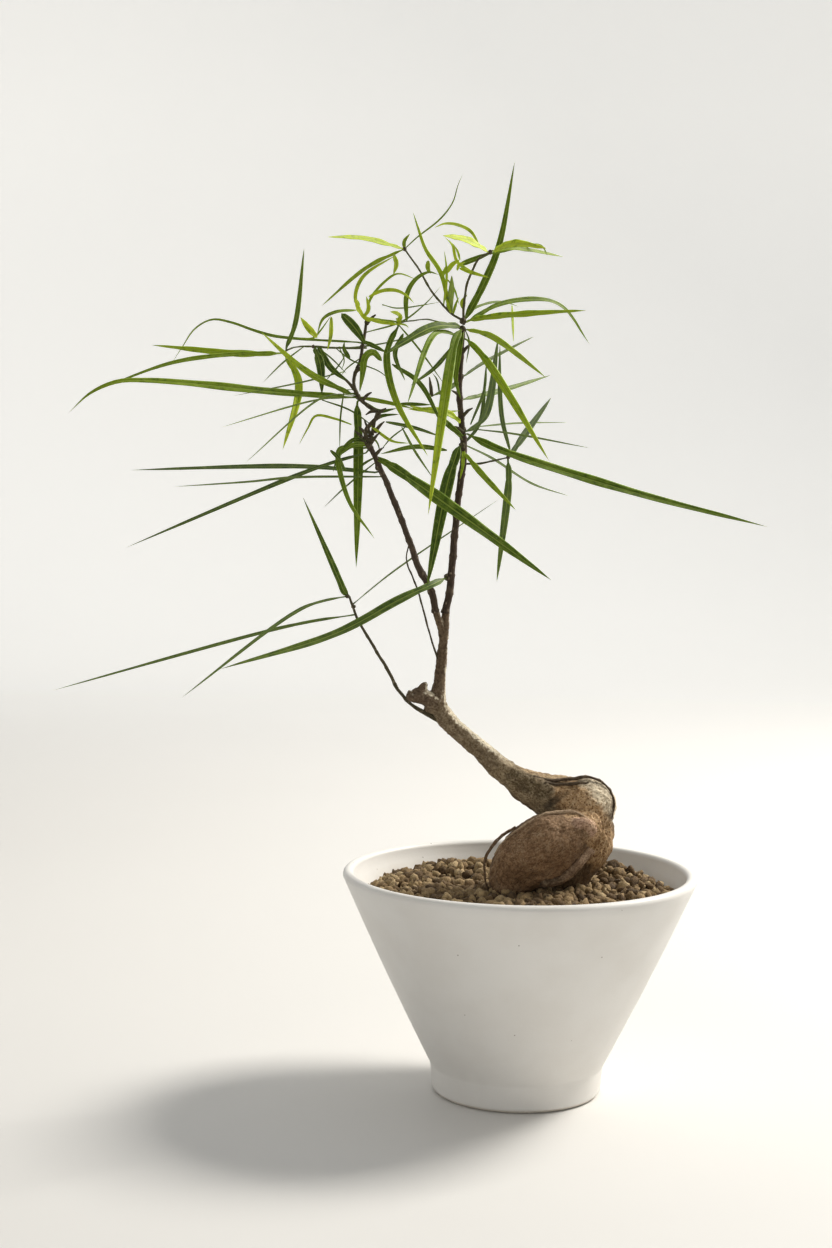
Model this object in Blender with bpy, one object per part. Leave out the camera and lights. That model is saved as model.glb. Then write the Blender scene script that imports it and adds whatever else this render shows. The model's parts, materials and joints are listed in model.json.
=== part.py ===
"""A small leaning bonsai with long narrow leaves, growing in a white footed ceramic pot.

Metres, +Z up. The origin is the centre of the pot's underside. The tree leans towards -X,
and its trunk folds over a fat root that lies across the front of the pot (-Y).
"""
import math

import bmesh
import bpy
from mathutils import Vector

MM = 0.001
GAP = 0.3 * MM

# Pot
POT_HEIGHT = 85.4 * MM
RIM_RADIUS = 67.5 * MM
FOOT_RADIUS = 33.2 * MM
FOOT_HEIGHT = 10.7 * MM
FOOT_TAPER = 0.8 * MM
FOOT_ROUND = 2.4 * MM
WALL = 4.2 * MM
FLOOR = 6.0 * MM
WALL_BULGE = 0.6 * MM
FLOOR_ROUND = 4.0 * MM

# Drainage
DRAIN_HOLES = 3
DRAIN_RADIUS = 4.0 * MM
DRAIN_CIRCLE = 12.5 * MM
SCREEN_SIDE = 34.0 * MM
SCREEN_THICKNESS = 1.0 * MM
SCREEN_BAR = 1.6 * MM
SCREEN_OPENINGS = 7

# Soil
SOIL_DROP_AT_WALL = 9.6 * MM
SOIL_MOUND = 4.4 * MM
ROOT_SETTING = 8.4 * MM

# Trunk and root
TRUNK_TOP_RADIUS = 2.0 * MM
TRUNK_RADIUS = 3.6 * MM
KNEE_RADIUS = 11.6 * MM
LOBE_RADIUS = 11.3 * MM
KNOT_RADIUS = 2.6 * MM
THIN_ROOT_RADIUS = 0.55 * MM
THICK_ROOT_RADIUS = 1.3 * MM

# Leaves
LEAF_THICKNESS = 0.5 * MM
LEAF_FOLD = 0.16
STALK_HALF_WIDTH = 0.4 * MM

POT_SEGMENTS = 48
WALL_STEPS = 4
SOIL_SEGMENTS = 48
TRUNK_SIDES = 18
STEM_SIDES = 8
LEAF_STEPS = 11

UP = Vector((0, 0, 1))
TO_FRONT = Vector((0, -1, 0))


# ---------------------------------------------------------------- materials

def material(name, color, roughness):
    made = bpy.data.materials.new(name)
    made.use_nodes = True
    shader = made.node_tree.nodes["Principled BSDF"]
    shader.inputs["Base Color"].default_value = (*color, 1.0)
    shader.inputs["Roughness"].default_value = roughness
    shader.inputs["Metallic"].default_value = 0.0
    return made


# ---------------------------------------------------------------- meshes

def add_object(name, points, faces, finish, smooth=True, helper=False):
    mesh = bpy.data.meshes.new(name)
    mesh.from_pydata([tuple(point) for point in points], [], faces)
    made = bpy.data.objects.new(name, mesh)
    bpy.context.scene.collection.objects.link(made)
    if finish:
        mesh.materials.append(finish)
    if smooth:
        mesh.shade_smooth()
        mesh.set_sharp_from_angle(angle=math.radians(40))
    if helper:
        made.hide_render = True
        made.display_type = "WIRE"
    return made


def boolean(target, other, operation):
    cut = target.modifiers.new(f"{operation.title()} {other.name}", "BOOLEAN")
    cut.operation = operation
    cut.solver = "EXACT"
    cut.object = other


def lathe(profile, segments):
    """Points and faces of a profile of (radius, height) turned about Z, with its two ends closed flat.

    The profile runs from the bottom end outwards, up and back in to the top end.
    """
    points = []
    rings = []
    for radius, height in profile:
        rings.append(list(range(len(points), len(points) + segments)))
        for step in range(segments):
            angle = math.tau * step / segments
            points.append(Vector((radius * math.cos(angle), radius * math.sin(angle), height)))
    faces = [tuple(reversed(rings[0])), tuple(rings[-1])]
    for low, high in zip(rings, rings[1:]):
        faces += band(low, high)
    return points, faces


def band(first, second):
    """Faces between two rings of point numbers, either of which may be a single point."""
    count = max(len(first), len(second))
    faces = []
    for step in range(count):
        following = (step + 1) % count
        if len(first) == 1:
            faces.append((first[0], second[following], second[step]))
        elif len(second) == 1:
            faces.append((first[step], first[following], second[0]))
        else:
            faces.append((first[step], first[following], second[following], second[step]))
    return faces


def arc(centre_r, centre_z, radius, start, end, steps):
    """Points of (radius, height) on an arc, angles in degrees."""
    points = []
    for step in range(steps + 1):
        angle = math.radians(start + (end - start) * step / steps)
        points.append((centre_r + radius * math.cos(angle), centre_z + radius * math.sin(angle)))
    return points


# ---------------------------------------------------------------- paths

def smooth_values(values, count):
    """`count` values spaced evenly along a smooth curve through `values`, which are Vectors."""
    padded = [values[0] * 2 - values[1], *values, values[-1] * 2 - values[-2]]
    fine = []
    for a, b, c, d in zip(padded, padded[1:], padded[2:], padded[3:]):
        for step in range(12):
            t = step / 12
            fine.append(0.5 * (2 * b + (c - a) * t + (2 * a - 5 * b + 4 * c - d) * t * t
                               + (3 * b - a - 3 * c + d) * t ** 3))
    fine.append(values[-1])
    lengths = [0.0]
    for a, b in zip(fine, fine[1:]):
        lengths.append(lengths[-1] + (b.to_3d() - a.to_3d()).length)
    spaced = []
    index = 0
    for step in range(count):
        wanted = lengths[-1] * step / (count - 1)
        while index < len(fine) - 2 and lengths[index + 1] < wanted:
            index += 1
        share = (wanted - lengths[index]) / max(lengths[index + 1] - lengths[index], 1e-9)
        spaced.append(fine[index].lerp(fine[index + 1], min(share, 1.0)))
    return spaced


def tangents(points):
    padded = [points[0], *points, points[-1]]
    return [(after - before).normalized() for before, after in zip(padded, padded[2:])]


class Limb:
    """A round tapering length of wood: a smooth path with a radius at every point."""

    def __init__(self, sections, count):
        spaced = smooth_values([Vector(section) for section in sections], count)
        self.points = [section.to_3d() for section in spaced]
        self.radii = [section.w for section in spaced]

    def clearance(self, point):
        """The distance from a point to this limb's bark, negative inside it."""
        nearest = math.inf
        for a, b, ra, rb in zip(self.points, self.points[1:], self.radii, self.radii[1:]):
            along = b - a
            share = min(max((point - a).dot(along) / along.length_squared, 0.0), 1.0)
            nearest = min(nearest, (point - a.lerp(b, share)).length - ra - (rb - ra) * share)
        return nearest

    def at(self, share):
        """The centre, direction and radius at a share of the length."""
        place = share * (len(self.points) - 1)
        index = min(int(place), len(self.points) - 2)
        part = place - index
        centre = self.points[index].lerp(self.points[index + 1], part)
        radius = self.radii[index] + (self.radii[index + 1] - self.radii[index]) * part
        return centre, tangents(self.points)[round(place)], radius

    def beside(self, share, angle, distance):
        """A point outside the bark; angle turns from the front towards the limb's right-hand side."""
        centre, direction, radius = self.at(share)
        front = (TO_FRONT - direction * TO_FRONT.dot(direction)).normalized()
        side = direction.cross(front)
        turn = math.radians(angle)
        return centre + (front * math.cos(turn) + side * math.sin(turn)) * (radius + distance)

    def starting_clear_of(self, parents):
        """The same limb, starting where its end face first stands GAP clear of its parents."""
        for index, (point, direction) in enumerate(zip(self.points, tangents(self.points))):
            across = direction.orthogonal().normalized()
            around = direction.cross(across)
            ring = [point]
            for step in range(STEM_SIDES):
                turn = math.tau * step / STEM_SIDES
                ring.append(point + (across * math.cos(turn) + around * math.sin(turn)) * self.radii[index])
            if all(parent.clearance(place) >= GAP for parent in parents for place in ring):
                self.points = self.points[index:]
                self.radii = self.radii[index:]
                return self
        raise ValueError("a stem never leaves its parent")


def tube(limb, sides, extra=0.0):
    """Points and faces of a limb's surface, with both ends slightly domed."""
    directions = tangents(limb.points)
    across = directions[0].orthogonal().normalized()
    points = [limb.points[0] - directions[0] * (limb.radii[0] * 0.25 + extra)]
    rings = [[0]]
    for centre, direction, radius in zip(limb.points, directions, limb.radii):
        across = (across - direction * across.dot(direction)).normalized()
        around = direction.cross(across)
        rings.append(list(range(len(points), len(points) + sides)))
        for step in range(sides):
            angle = math.tau * step / sides
            points.append(centre + (across * math.cos(angle) + around * math.sin(angle)) * (radius + extra))
    rings.append([len(points)])
    points.append(limb.points[-1] + directions[-1] * (limb.radii[-1] * 0.6 + extra))
    faces = []
    for low, high in zip(rings, rings[1:]):
        faces += band(low, high)
    return points, faces


# ---------------------------------------------------------------- pot, screen and soil

def outer_wall(height):
    """The pot's outer radius above the foot, straight with a very slight bulge."""
    share = (height - FOOT_HEIGHT) / (POT_HEIGHT - WALL / 2 - FOOT_HEIGHT)
    return FOOT_RADIUS + (RIM_RADIUS - FOOT_RADIUS) * share + WALL_BULGE * math.sin(math.pi * share)


def inner_wall(height):
    return outer_wall(height) - WALL


def make_pot():
    lip = WALL / 2
    lip_height = POT_HEIGHT - lip
    floor_edge = inner_wall(FOOT_HEIGHT) - FLOOR_ROUND
    profile = arc(FOOT_RADIUS - FOOT_TAPER - FOOT_ROUND, FOOT_ROUND, FOOT_ROUND, -90, 0, 3)
    heights = [FOOT_HEIGHT + (lip_height - FOOT_HEIGHT) * step / WALL_STEPS for step in range(WALL_STEPS + 1)]
    profile += [(outer_wall(height), height) for height in heights[:-1]]
    profile += arc(outer_wall(lip_height) - lip, lip_height, lip, 0, 180, 6)
    profile += [(inner_wall(height), height) for height in reversed(heights[1:-1])]
    profile += [(inner_wall(FLOOR + FLOOR_ROUND), FLOOR + FLOOR_ROUND)]
    profile += [(floor_edge + FLOOR_ROUND * 0.7, FLOOR + FLOOR_ROUND * 0.3), (floor_edge, FLOOR)]
    pot = add_object("pot", *lathe(profile, POT_SEGMENTS), material("ceramic", (0.86, 0.84, 0.80), 0.55))
    for number in range(DRAIN_HOLES):
        x, y = drain_centre(number)
        hole, faces = lathe([(DRAIN_RADIUS, -FLOOR), (DRAIN_RADIUS, FLOOR * 2)], 16)
        hole = [point + Vector((x, y, 0)) for point in hole]
        boolean(pot, add_object(f"drain_cutter_{number}", hole, faces, None, False, True), "DIFFERENCE")


def drain_centre(number):
    angle = math.tau * number / DRAIN_HOLES + math.radians(90)
    return DRAIN_CIRCLE * math.cos(angle), DRAIN_CIRCLE * math.sin(angle)


def make_drainage_screen():
    """A square plastic lattice over the drainage holes: one grid of bars with square openings."""
    lines = [-SCREEN_SIDE / 2]
    opening = (SCREEN_SIDE - SCREEN_BAR * (SCREEN_OPENINGS + 1)) / SCREEN_OPENINGS
    for step in range(SCREEN_OPENINGS * 2 + 1):
        lines.append(lines[-1] + (opening if step % 2 else SCREEN_BAR))
    base = FLOOR + GAP
    made = bmesh.new()
    grid = [[made.verts.new((x, y, base)) for y in lines] for x in lines]
    for column in range(len(lines) - 1):
        for row in range(len(lines) - 1):
            if column % 2 and row % 2:
                continue
            made.faces.new((grid[column][row], grid[column][row + 1],
                            grid[column + 1][row + 1], grid[column + 1][row]))
    extruded = bmesh.ops.extrude_face_region(made, geom=made.faces[:])
    raised = [item for item in extruded["geom"] if isinstance(item, bmesh.types.BMVert)]
    bmesh.ops.translate(made, vec=(0, 0, SCREEN_THICKNESS), verts=raised)
    bmesh.ops.recalc_face_normals(made, faces=made.faces[:])
    screen = add_object("drainage_screen", [], [], material("screen_plastic", (0.03, 0.03, 0.03), 0.5), False)
    made.to_mesh(screen.data)
    made.free()


def make_soil(buried):
    base = FLOOR + GAP + SCREEN_THICKNESS + GAP
    edge = POT_HEIGHT - SOIL_DROP_AT_WALL
    low_edge = max(base, FLOOR + FLOOR_ROUND)
    clearance = GAP + WALL * 0.02
    floor_radius = inner_wall(low_edge) - clearance - (low_edge - base)
    profile = [(floor_radius, base)]
    for step in range(WALL_STEPS + 1):
        height = low_edge + (edge - low_edge) * step / WALL_STEPS
        profile.append((inner_wall(height) - clearance, height))
    top_radius = profile[-1][0]
    for share in (0.85, 0.65, 0.45, 0.2):
        profile.append((top_radius * share, edge + SOIL_MOUND * math.cos(share * math.pi / 2) ** 0.8))
    soil = add_object("soil", *lathe(profile, SOIL_SEGMENTS), material("soil_grains", (0.30, 0.23, 0.15), 0.95))
    for name, limb, sides in buried:
        cutter = add_object(f"pocket_for_{name}", *tube(limb, sides, GAP), None, False, True)
        boolean(soil, cutter, "DIFFERENCE")


# ---------------------------------------------------------------- trunk and roots

def planted(x, y, height):
    """A place on the tree, given in millimetres from the pot's axis and from the root's own level."""
    return x * MM, y * MM, POT_HEIGHT - ROOT_SETTING + height * MM


def limb_through(sections, unit, count):
    """A limb through (x, y, height, radius) sections, with the radii as shares of one named radius."""
    return Limb([(*planted(x, y, height), unit * radius) for x, y, height, radius in sections], count)


def trunk_limbs():
    """The trunk above the knee, the trunk below it, and the whole run, which only guides what lies on it."""
    thin = [(-31, 0, 94, 0.95), (-31.5, 0, 81, 1.05), (-31, 0, 72, 1.4)]
    lean = [(-27.5, 1, 64.5, 0.92), (-19.5, 1, 57.5, 1.0), (-11, 2, 50, 1.16), (-3.5, 2, 44, 1.45)]
    knee = [(5, 3, 39, 0.6), (14, 4, 35, 0.84), (22, 5, 31.5, 1.0)]
    base = [(23, 5, 30, 0.84), (25.5, 5, 24, 0.94), (25, 4, 17.5, 0.89), (21, 3, 9.5, 0.76), (18, 2, 2, 0.66),
            (16, 2, -3, 0.5)]
    above = []
    for unit, rows in ((TRUNK_TOP_RADIUS, thin), (TRUNK_RADIUS, lean), (KNEE_RADIUS, knee)):
        above += [(*planted(x, y, height), unit * radius) for x, y, height, radius in rows]
    below = [(*planted(x, y, height), KNEE_RADIUS * radius) for x, y, height, radius in base]
    return Limb(above, 26), Limb(below, 9), Limb(above + below[1:], 40)


def lobe_limb():
    """The fat root that folds back from the knee, across the front of the trunk, and down."""
    return limb_through([(27, -3, 27.5, 0.58), (19, -8, 24.5, 0.75), (10, -11, 21, 1.0), (1, -11, 16, 0.95),
                         (-4.5, -10, 11, 0.8), (-6.5, -9, 5.5, 0.68), (-7, -8, 0, 0.5)], LOBE_RADIUS, 18)


def fork_limbs():
    left = [(-31, 0, 92, 0.9), (-32, -1, 101, 0.8), (-33.5, -2, 107.5, 0.68)]
    right = [(-31, 0, 92, 0.9), (-30, 0, 100.5, 0.85), (-29.5, 1, 107, 0.76)]
    return limb_through(left, TRUNK_TOP_RADIUS, 7), limb_through(right, TRUNK_TOP_RADIUS, 7)


def knot_limb():
    """The stub of a branch cut off long ago."""
    return limb_through([(-31, 0, 73, 0.9), (-36, -2, 76.5, 1.0), (-39, -3, 78.5, 1.05), (-41.5, -3, 79, 0.6)],
                        KNOT_RADIUS, 7)


def knee_ball(centre, radius):
    """The rounded outside of the bend."""
    steps = TRUNK_SIDES // 2
    profile = arc(0, 0, radius, -90, 90, steps)[1:-1]
    points, faces = lathe(profile, TRUNK_SIDES)
    return [point + centre for point in points], faces


def make_trunk(above, others, bark):
    trunk = add_object("trunk_and_root", *tube(above, TRUNK_SIDES), bark)
    ball = add_object("joined_knee", *knee_ball(above.points[-1], above.radii[-1] * 1.01), None, False, True)
    boolean(trunk, ball, "UNION")
    for name, limb, sides in others:
        joined = add_object(f"joined_{name}", *tube(limb, sides), None, False, True)
        boolean(trunk, joined, "UNION")


def strand(limb, route, radius, count):
    """A thin root laid beside a limb: route holds (share of the limb, angle, stand-off)."""
    sections = []
    for share, angle, off in route:
        sections.append((*limb.beside(share, angle, GAP + radius + off), radius))
    return Limb(sections, count)


# ---------------------------------------------------------------- stems and leaves

# Each stem: its parents, its radius at the base and the tip, and its route in millimetres.
STEMS = {
    "branch_left": (("fork_left", "fork_right"), 1.35, 0.95, [
        (-33.5, -2, 107.5), (-35.5, -4, 115.5), (-40.5, -6, 124.5), (-42.5, -8, 131), (-47, -10, 142.5),
        (-52.5, -12, 155.5), (-56.5, -14, 164.5), (-59, -14, 169)]),
    "branch_right": (("fork_left", "fork_right"), 1.5, 1.0, [
        (-29.5, 1, 107), (-28, 1, 116.5), (-27, 2, 130), (-25.5, 4, 148), (-23.5, 5, 166),
        (-24, 6, 175), (-25.5, 6, 190), (-25, 7, 205), (-24.5, 8, 217)]),
    "twig_low": (("main",), 0.9, 0.5, [
        (-32.5, 0, 66), (-36, -2, 68), (-45, -4, 74.5), (-53.5, -6, 89), (-62, -10, 103),
        (-64.5, -11, 110), (-66.5, -12, 113.5)]),
    "thin_shoot": (("main", "fork_left"), 0.45, 0.35, [
        (-32, -1, 88), (-35, -3, 97), (-38, -5, 107.5), (-41, -6.5, 117), (-44.5, -8, 125)]),
    "twig_upper_left": (("branch_left",), 0.9, 0.6, [
        (-59, -14, 169), (-60.5, -13, 173.5), (-58, -12, 178), (-55, -10, 180.5), (-58.5, -7, 183),
        (-63.5, -4, 187.5), (-65.5, -2, 193.5), (-63, 1, 201.5), (-62, 3, 209), (-61, 4, 216)]),
    "twig_far_left": (("twig_upper_left",), 0.6, 0.5, [
        (-62.5, 3, 206), (-72, 4, 206), (-81, 6, 206.5), (-87, 8, 206.5), (-92.5, 10, 204.5)]),
    "twig_top_left": (("branch_right",), 0.7, 0.5, [
        (-25, 8, 217.5), (-29.5, 8, 220.5), (-36, 6, 227), (-41, 4, 235), (-47, 2, 243)]),
    "twig_top_right": (("branch_right",), 0.7, 0.5, [
        (-24.3, 8.5, 217), (-24, 8, 226.5), (-22, 8, 234), (-19, 8, 240), (-14.5, 8, 243)]),
    "twig_thin_left": (("branch_right",), 0.45, 0.4, [
        (-25, 8, 214), (-33, 8, 216.5), (-41, 4, 217), (-48.5, 0, 215.5)]),
    "twig_side": (("branch_right",), 0.6, 0.45, [
        (-23.5, 5, 163), (-18, 4, 163), (-12.5, 1, 164), (-7, -2, 165.5)]),
}

# Each leaf: its stem, its widest width, how far its blade turns away from the front,
# and its midline in millimetres, from the stem to the tip.
LEAVES = {
    "leaf_left_long": ("twig_upper_left", 2.9, 40, [(-64, -3, 187), (-92, -9, 188), (-149, -23, 191),
                                                   (-168, -28, 179)]),
    "leaf_left_vertical": ("twig_upper_left", 3.6, 15, [(-64, -4, 187), (-63, -12, 166), (-63, -24, 124)]),
    "leaf_left_yellow_back": ("twig_upper_left", 2.4, -25, [(-65, -3, 188), (-82, -16, 196), (-98, -32, 209)]),
    "leaf_left_low_arch": ("twig_upper_left", 1.4, 30, [(-64, -4, 187), (-80, -18, 185), (-111, -48, 174)]),
    "leaf_left_low_fine": ("twig_upper_left", 1.4, 30, [(-64.5, -3.5, 188), (-78, -22, 185), (-101, -66, 161)]),
    "leaf_far_left_up": ("twig_far_left", 2.7, 35, [(-92, 10, 204), (-112, 18, 204), (-146, 32, 208)]),
    "leaf_far_left_down": ("twig_far_left", 1.8, 30, [(-92, 9, 204), (-111, 5, 203), (-134, -2, 199),
                                                     (-159, -10, 189)]),
    "leaf_far_left_arch": ("twig_upper_left", 1.5, 30, [(-63, 3, 208), (-96, 20, 211), (-124, 34, 218),
                                                       (-140, 45, 201)]),
    "leaf_far_left_upright": ("twig_far_left", 2.4, 25, [(-92, 10, 205), (-88, 15, 218), (-86, 26, 246)]),
    "leaf_far_left_hanging": ("twig_far_left", 2.7, -30, [(-92, 9, 204), (-86, 1, 191), (-91, -14, 167)]),
    "leaf_left_dark_hanging": ("twig_far_left", 3.2, 20, [(-81, 6, 207), (-78, 0, 199), (-77, -6, 188)]),
    "leaf_tip_left_level": ("twig_top_left", 2.2, 35, [(-47, 2, 243), (-62, -11, 245), (-75, -24, 244)]),
    "leaf_tip_left_droop": ("twig_top_left", 1.8, 35, [(-47, 2, 243), (-62, 10, 236), (-79, 22, 223)]),
    "leaf_crown_top": ("branch_right", 3.6, 15, [(-24, 9, 217), (-16, 17, 233), (-10, 22, 250), (-5, 26, 280)]),
    "leaf_crown_right_level": ("branch_right", 2.7, 40, [(-24, 8, 217), (-10, -2, 218), (20, -22, 219)]),
    "leaf_crown_right_arch": ("branch_right", 2.5, 35, [(-24, 9, 216), (-8, 20, 225), (13, 32, 226),
                                                       (27, 44, 211)]),
    "leaf_crown_right_down": ("branch_right", 2.3, 30, [(-24, 8, 214), (-13, -12, 209), (4, -48, 193)]),
    "leaf_crown_right_steep": ("branch_right", 3.0, 20, [(-24, 7, 211), (-14, -3, 199), (7, -26, 164)]),
    "leaf_leader_back_fine": ("branch_right", 1.4, 30, [(-24, 7, 196), (-16, 21, 202), (5, 55, 215)]),
    "leaf_leader_back_level": ("branch_right", 2.0, 35, [(-25, 6, 187), (-8, 31, 192), (13, 62, 200)]),
    "leaf_side_grey_up": ("twig_side", 2.7, -20, [(-7, -2, 165), (-1, 4, 174), (10, 14, 189)]),
    "leaf_side_hanging": ("twig_side", 2.9, 15, [(-7, -2, 165), (-7, -6, 153), (-11, -14, 119)]),
    "leaf_crown_left_arch": ("branch_right", 2.0, 30, [(-25, 7, 211), (-36, -7, 210), (-45, -45, 183)]),
    "leaf_crown_left_down": ("branch_right", 3.4, 30, [(-25, 7, 215), (-37, -4, 213), (-54, -20, 202)]),
    "leaf_crown_left_fold": ("twig_thin_left", 2.6, 20, [(-48, 0, 216), (-53, -5, 203), (-49, -13, 185),
                                                        (-37, -22, 165)]),
    "leaf_crown_front_bright": ("branch_right", 3.7, 15, [(-25, 6, 214), (-29, -8, 202), (-37, -44, 144)]),
    "leaf_leader_left_pale": ("branch_right", 2.8, 30, [(-24, 5, 178), (-31, 0, 182), (-45, -6, 183)]),
    "leaf_leader_broad_dark": ("branch_right", 4.6, 15, [(-25, 4, 170), (-30, -5, 154), (-37, -22, 117)]),
    "leaf_leader_right_long": ("branch_right", 3.2, 40, [(-24, 5, 175), (-5, -6, 166), (42, -14, 152),
                                                        (88, -24, 141)]),
    "leaf_leader_grey_up": ("branch_right", 2.7, -25, [(-24, 5, 174), (-15, 6, 183), (-11, 8, 211)]),
    "leaf_leader_olive_down": ("branch_right", 2.2, 25, [(-24, 5, 168), (-17, -9, 159), (-5, -30, 146)]),
    "leaf_leader_left_sweep": ("branch_right", 3.7, 35, [(-29, 1, 120), (-36, -10, 117), (-47, -15, 112),
                                                        (-72, -25, 99), (-111, -44, 88)]),
    "leaf_left_big_diagonal": ("branch_left", 4.4, 30, [(-57, -14, 165), (-44, -19, 157), (8, -34, 121)]),
    "leaf_left_level": ("branch_left", 1.9, 30, [(-55, -13, 159), (-89, 0, 161), (-153, 24, 159)]),
    "leaf_left_slanting": ("branch_left", 2.1, 30, [(-58, -14, 167), (-84, -22, 158), (-145, -42, 131)]),
    "leaf_left_hooked": ("branch_left", 1.9, 20, [(-59, -14, 168), (-70, -19, 167), (-66, -27, 149),
                                                 (-56, -34, 135)]),
    "leaf_low_long_fine": ("twig_low", 1.3, 30, [(-64, -11, 110), (-49, 4, 126), (-8, 34, 150)]),
    "leaf_low_upright": ("twig_low", 2.9, 25, [(-67, -12, 113), (-73, -16, 127), (-83, -22, 150)]),
    "leaf_low_left_mid": ("twig_low", 1.9, 30, [(-67, -12, 113), (-86, -25, 107), (-123, -58, 79)]),
    "leaf_low_left_long": ("twig_low", 1.9, 30, [(-64, -11, 106), (-96, -3, 99), (-182, 18, 73)]),
    "leaf_top_yellow_left": ("twig_top_right", 3.2, 40, [(-15, 8, 243), (-24, 0, 246), (-33, -8, 247)]),
    "leaf_top_yellow_right": ("twig_top_right", 3.2, 40, [(-14, 8, 243), (-6, 1, 245), (6, -6, 243)]),
    "leaf_top_fine_right": ("twig_top_right", 1.8, 35, [(-14, 8, 243), (-4, 14, 245), (15, 30, 244)]),
}

YOUNG_LEAVES = ("yellow", "bright", "pale", "tip_left", "crown_right", "olive", "far_left_hanging")


def leaf_width_share(share):
    """The blade's width along the leaf, as a share of the widest: a stalk, a blade and a long point."""
    if share < 0.28:
        return math.sin(share / 0.28 * math.pi / 2) ** 1.2
    return math.cos((share - 0.28) / 0.72 * math.pi / 2) ** 0.75


def leaf_mesh(limb, parent, width, turn):
    """A thin folded blade that tapers to a point, starting GAP clear of its stem."""
    points = limb.points
    start = 0
    while parent.clearance(points[start]) < GAP + STALK_HALF_WIDTH + LEAF_THICKNESS:
        start += 1
    midline = smooth_values(points[start::6] + [points[-1]], LEAF_STEPS)
    half_thickness = LEAF_THICKNESS / 2
    vertices = []
    rings = []
    for step, (point, direction) in enumerate(zip(midline, tangents(midline))):
        share = step / (LEAF_STEPS - 1)
        rings.append(list(range(len(vertices), len(vertices) + 4)))
        front = (TO_FRONT - direction * TO_FRONT.dot(direction)).normalized()
        facing = front * math.cos(turn) + UP * math.sin(turn)
        facing = (facing - direction * facing.dot(direction)).normalized()
        side = direction.cross(facing)
        half = max(width / 2 * leaf_width_share(share), STALK_HALF_WIDTH * (1 - share))
        fold = facing * (half * 2 * LEAF_FOLD)
        thick = facing * half_thickness * (1 - share * 0.5)
        if step == LEAF_STEPS - 1:
            rings[-1] = [len(vertices)]
            vertices.append(point)
            break
        vertices += [point - side * half + fold, point + thick, point + side * half + fold, point - thick]
    faces = [tuple(reversed(rings[0]))]
    for low, high in zip(rings, rings[1:]):
        faces += band(low, high)
    return vertices, faces


def make_leaves(limbs):
    mature = material("leaf_green", (0.09, 0.19, 0.04), 0.45)
    young = material("leaf_young", (0.38, 0.50, 0.05), 0.45)
    for name, (stem, width, turn, route) in LEAVES.items():
        midline = Limb([(*planted(*place), 0.0) for place in route], 121)
        finish = young if any(word in name for word in YOUNG_LEAVES) else mature
        mesh = leaf_mesh(midline, limbs[stem], width * MM / math.cos(math.radians(turn)), math.radians(turn))
        add_object(name, *mesh, finish, False)


# ---------------------------------------------------------------- the whole plant

def main():
    for old in list(bpy.data.objects):
        bpy.data.objects.remove(old)

    bark = material("bark", (0.20, 0.14, 0.09), 0.85)
    young_bark = material("young_bark", (0.10, 0.06, 0.04), 0.8)
    above, below, trunk = trunk_limbs()
    lobe = lobe_limb()
    fork_left, fork_right = fork_limbs()
    over_knee = strand(trunk, [(0.52, -48, 0.4 * MM), (0.58, -62, 0.4 * MM), (0.64, -74, 0.7 * MM),
                               (0.70, -84, 1.1 * MM), (0.76, -88, 0.9 * MM), (0.82, -80, 0.4 * MM)],
                       THIN_ROOT_RADIUS, 14)
    arc_left = strand(lobe, [(0.56, 92, 0.4 * MM), (0.68, 96, 1.6 * MM), (0.78, 98, 2.4 * MM),
                             (0.88, 95, 2.2 * MM), (1.0, 90, 2.0 * MM)], THIN_ROOT_RADIUS, 12)
    under_lobe = strand(lobe, [(0.14, -60, 1.0 * MM), (0.28, -66, 0.6 * MM), (0.42, -72, 0.8 * MM),
                               (0.54, -66, 2.0 * MM), (0.64, -62, 3.5 * MM)], THICK_ROOT_RADIUS, 12)

    make_pot()
    make_drainage_screen()
    make_soil([("trunk", below, TRUNK_SIDES), ("lobe", lobe, TRUNK_SIDES),
               ("root_arc_left", arc_left, STEM_SIDES), ("root_under_lobe", under_lobe, STEM_SIDES)])
    make_trunk(above, [("below", below, TRUNK_SIDES), ("lobe", lobe, TRUNK_SIDES), ("knot", knot_limb(), 10),
                       ("fork_left", fork_left, 10), ("fork_right", fork_right, 10)], bark)
    for name, limb in (("root_over_knee", over_knee), ("root_arc_left", arc_left),
                       ("root_under_lobe", under_lobe)):
        add_object(name, *tube(limb, STEM_SIDES), bark)

    limbs = {"main": trunk, "fork_left": fork_left, "fork_right": fork_right}
    for name, (parents, base_radius, tip_radius, route) in STEMS.items():
        sections = []
        for step, place in enumerate(route):
            radius = base_radius + (tip_radius - base_radius) * step / (len(route) - 1)
            sections.append((*planted(*place), radius * MM))
        whole = Limb(sections, 160).starting_clear_of([limbs[parent] for parent in parents])
        limbs[name] = whole
        thinned = [(*point, radius) for point, radius in zip(whole.points[::10], whole.radii[::10])]
        add_object(name, *tube(Limb(thinned, len(route) * 2), STEM_SIDES), young_bark)
    make_leaves(limbs)


main()
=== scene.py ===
"""The finished look of a small leaning bonsai with long narrow leaves, in a white footed ceramic pot.

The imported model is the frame. Its leaves, stems and loose roots give the midlines that the finished ones
follow. The pot, the soil and the trunk are made again at full detail in the same places.
Metres, +Z up, the origin at the centre of the pot's underside. The tree leans towards -X.
"""
import json
import math

import bmesh
import bpy
import numpy as np
from mathutils import Matrix, Vector, noise
from mathutils.bvhtree import BVHTree

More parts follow.
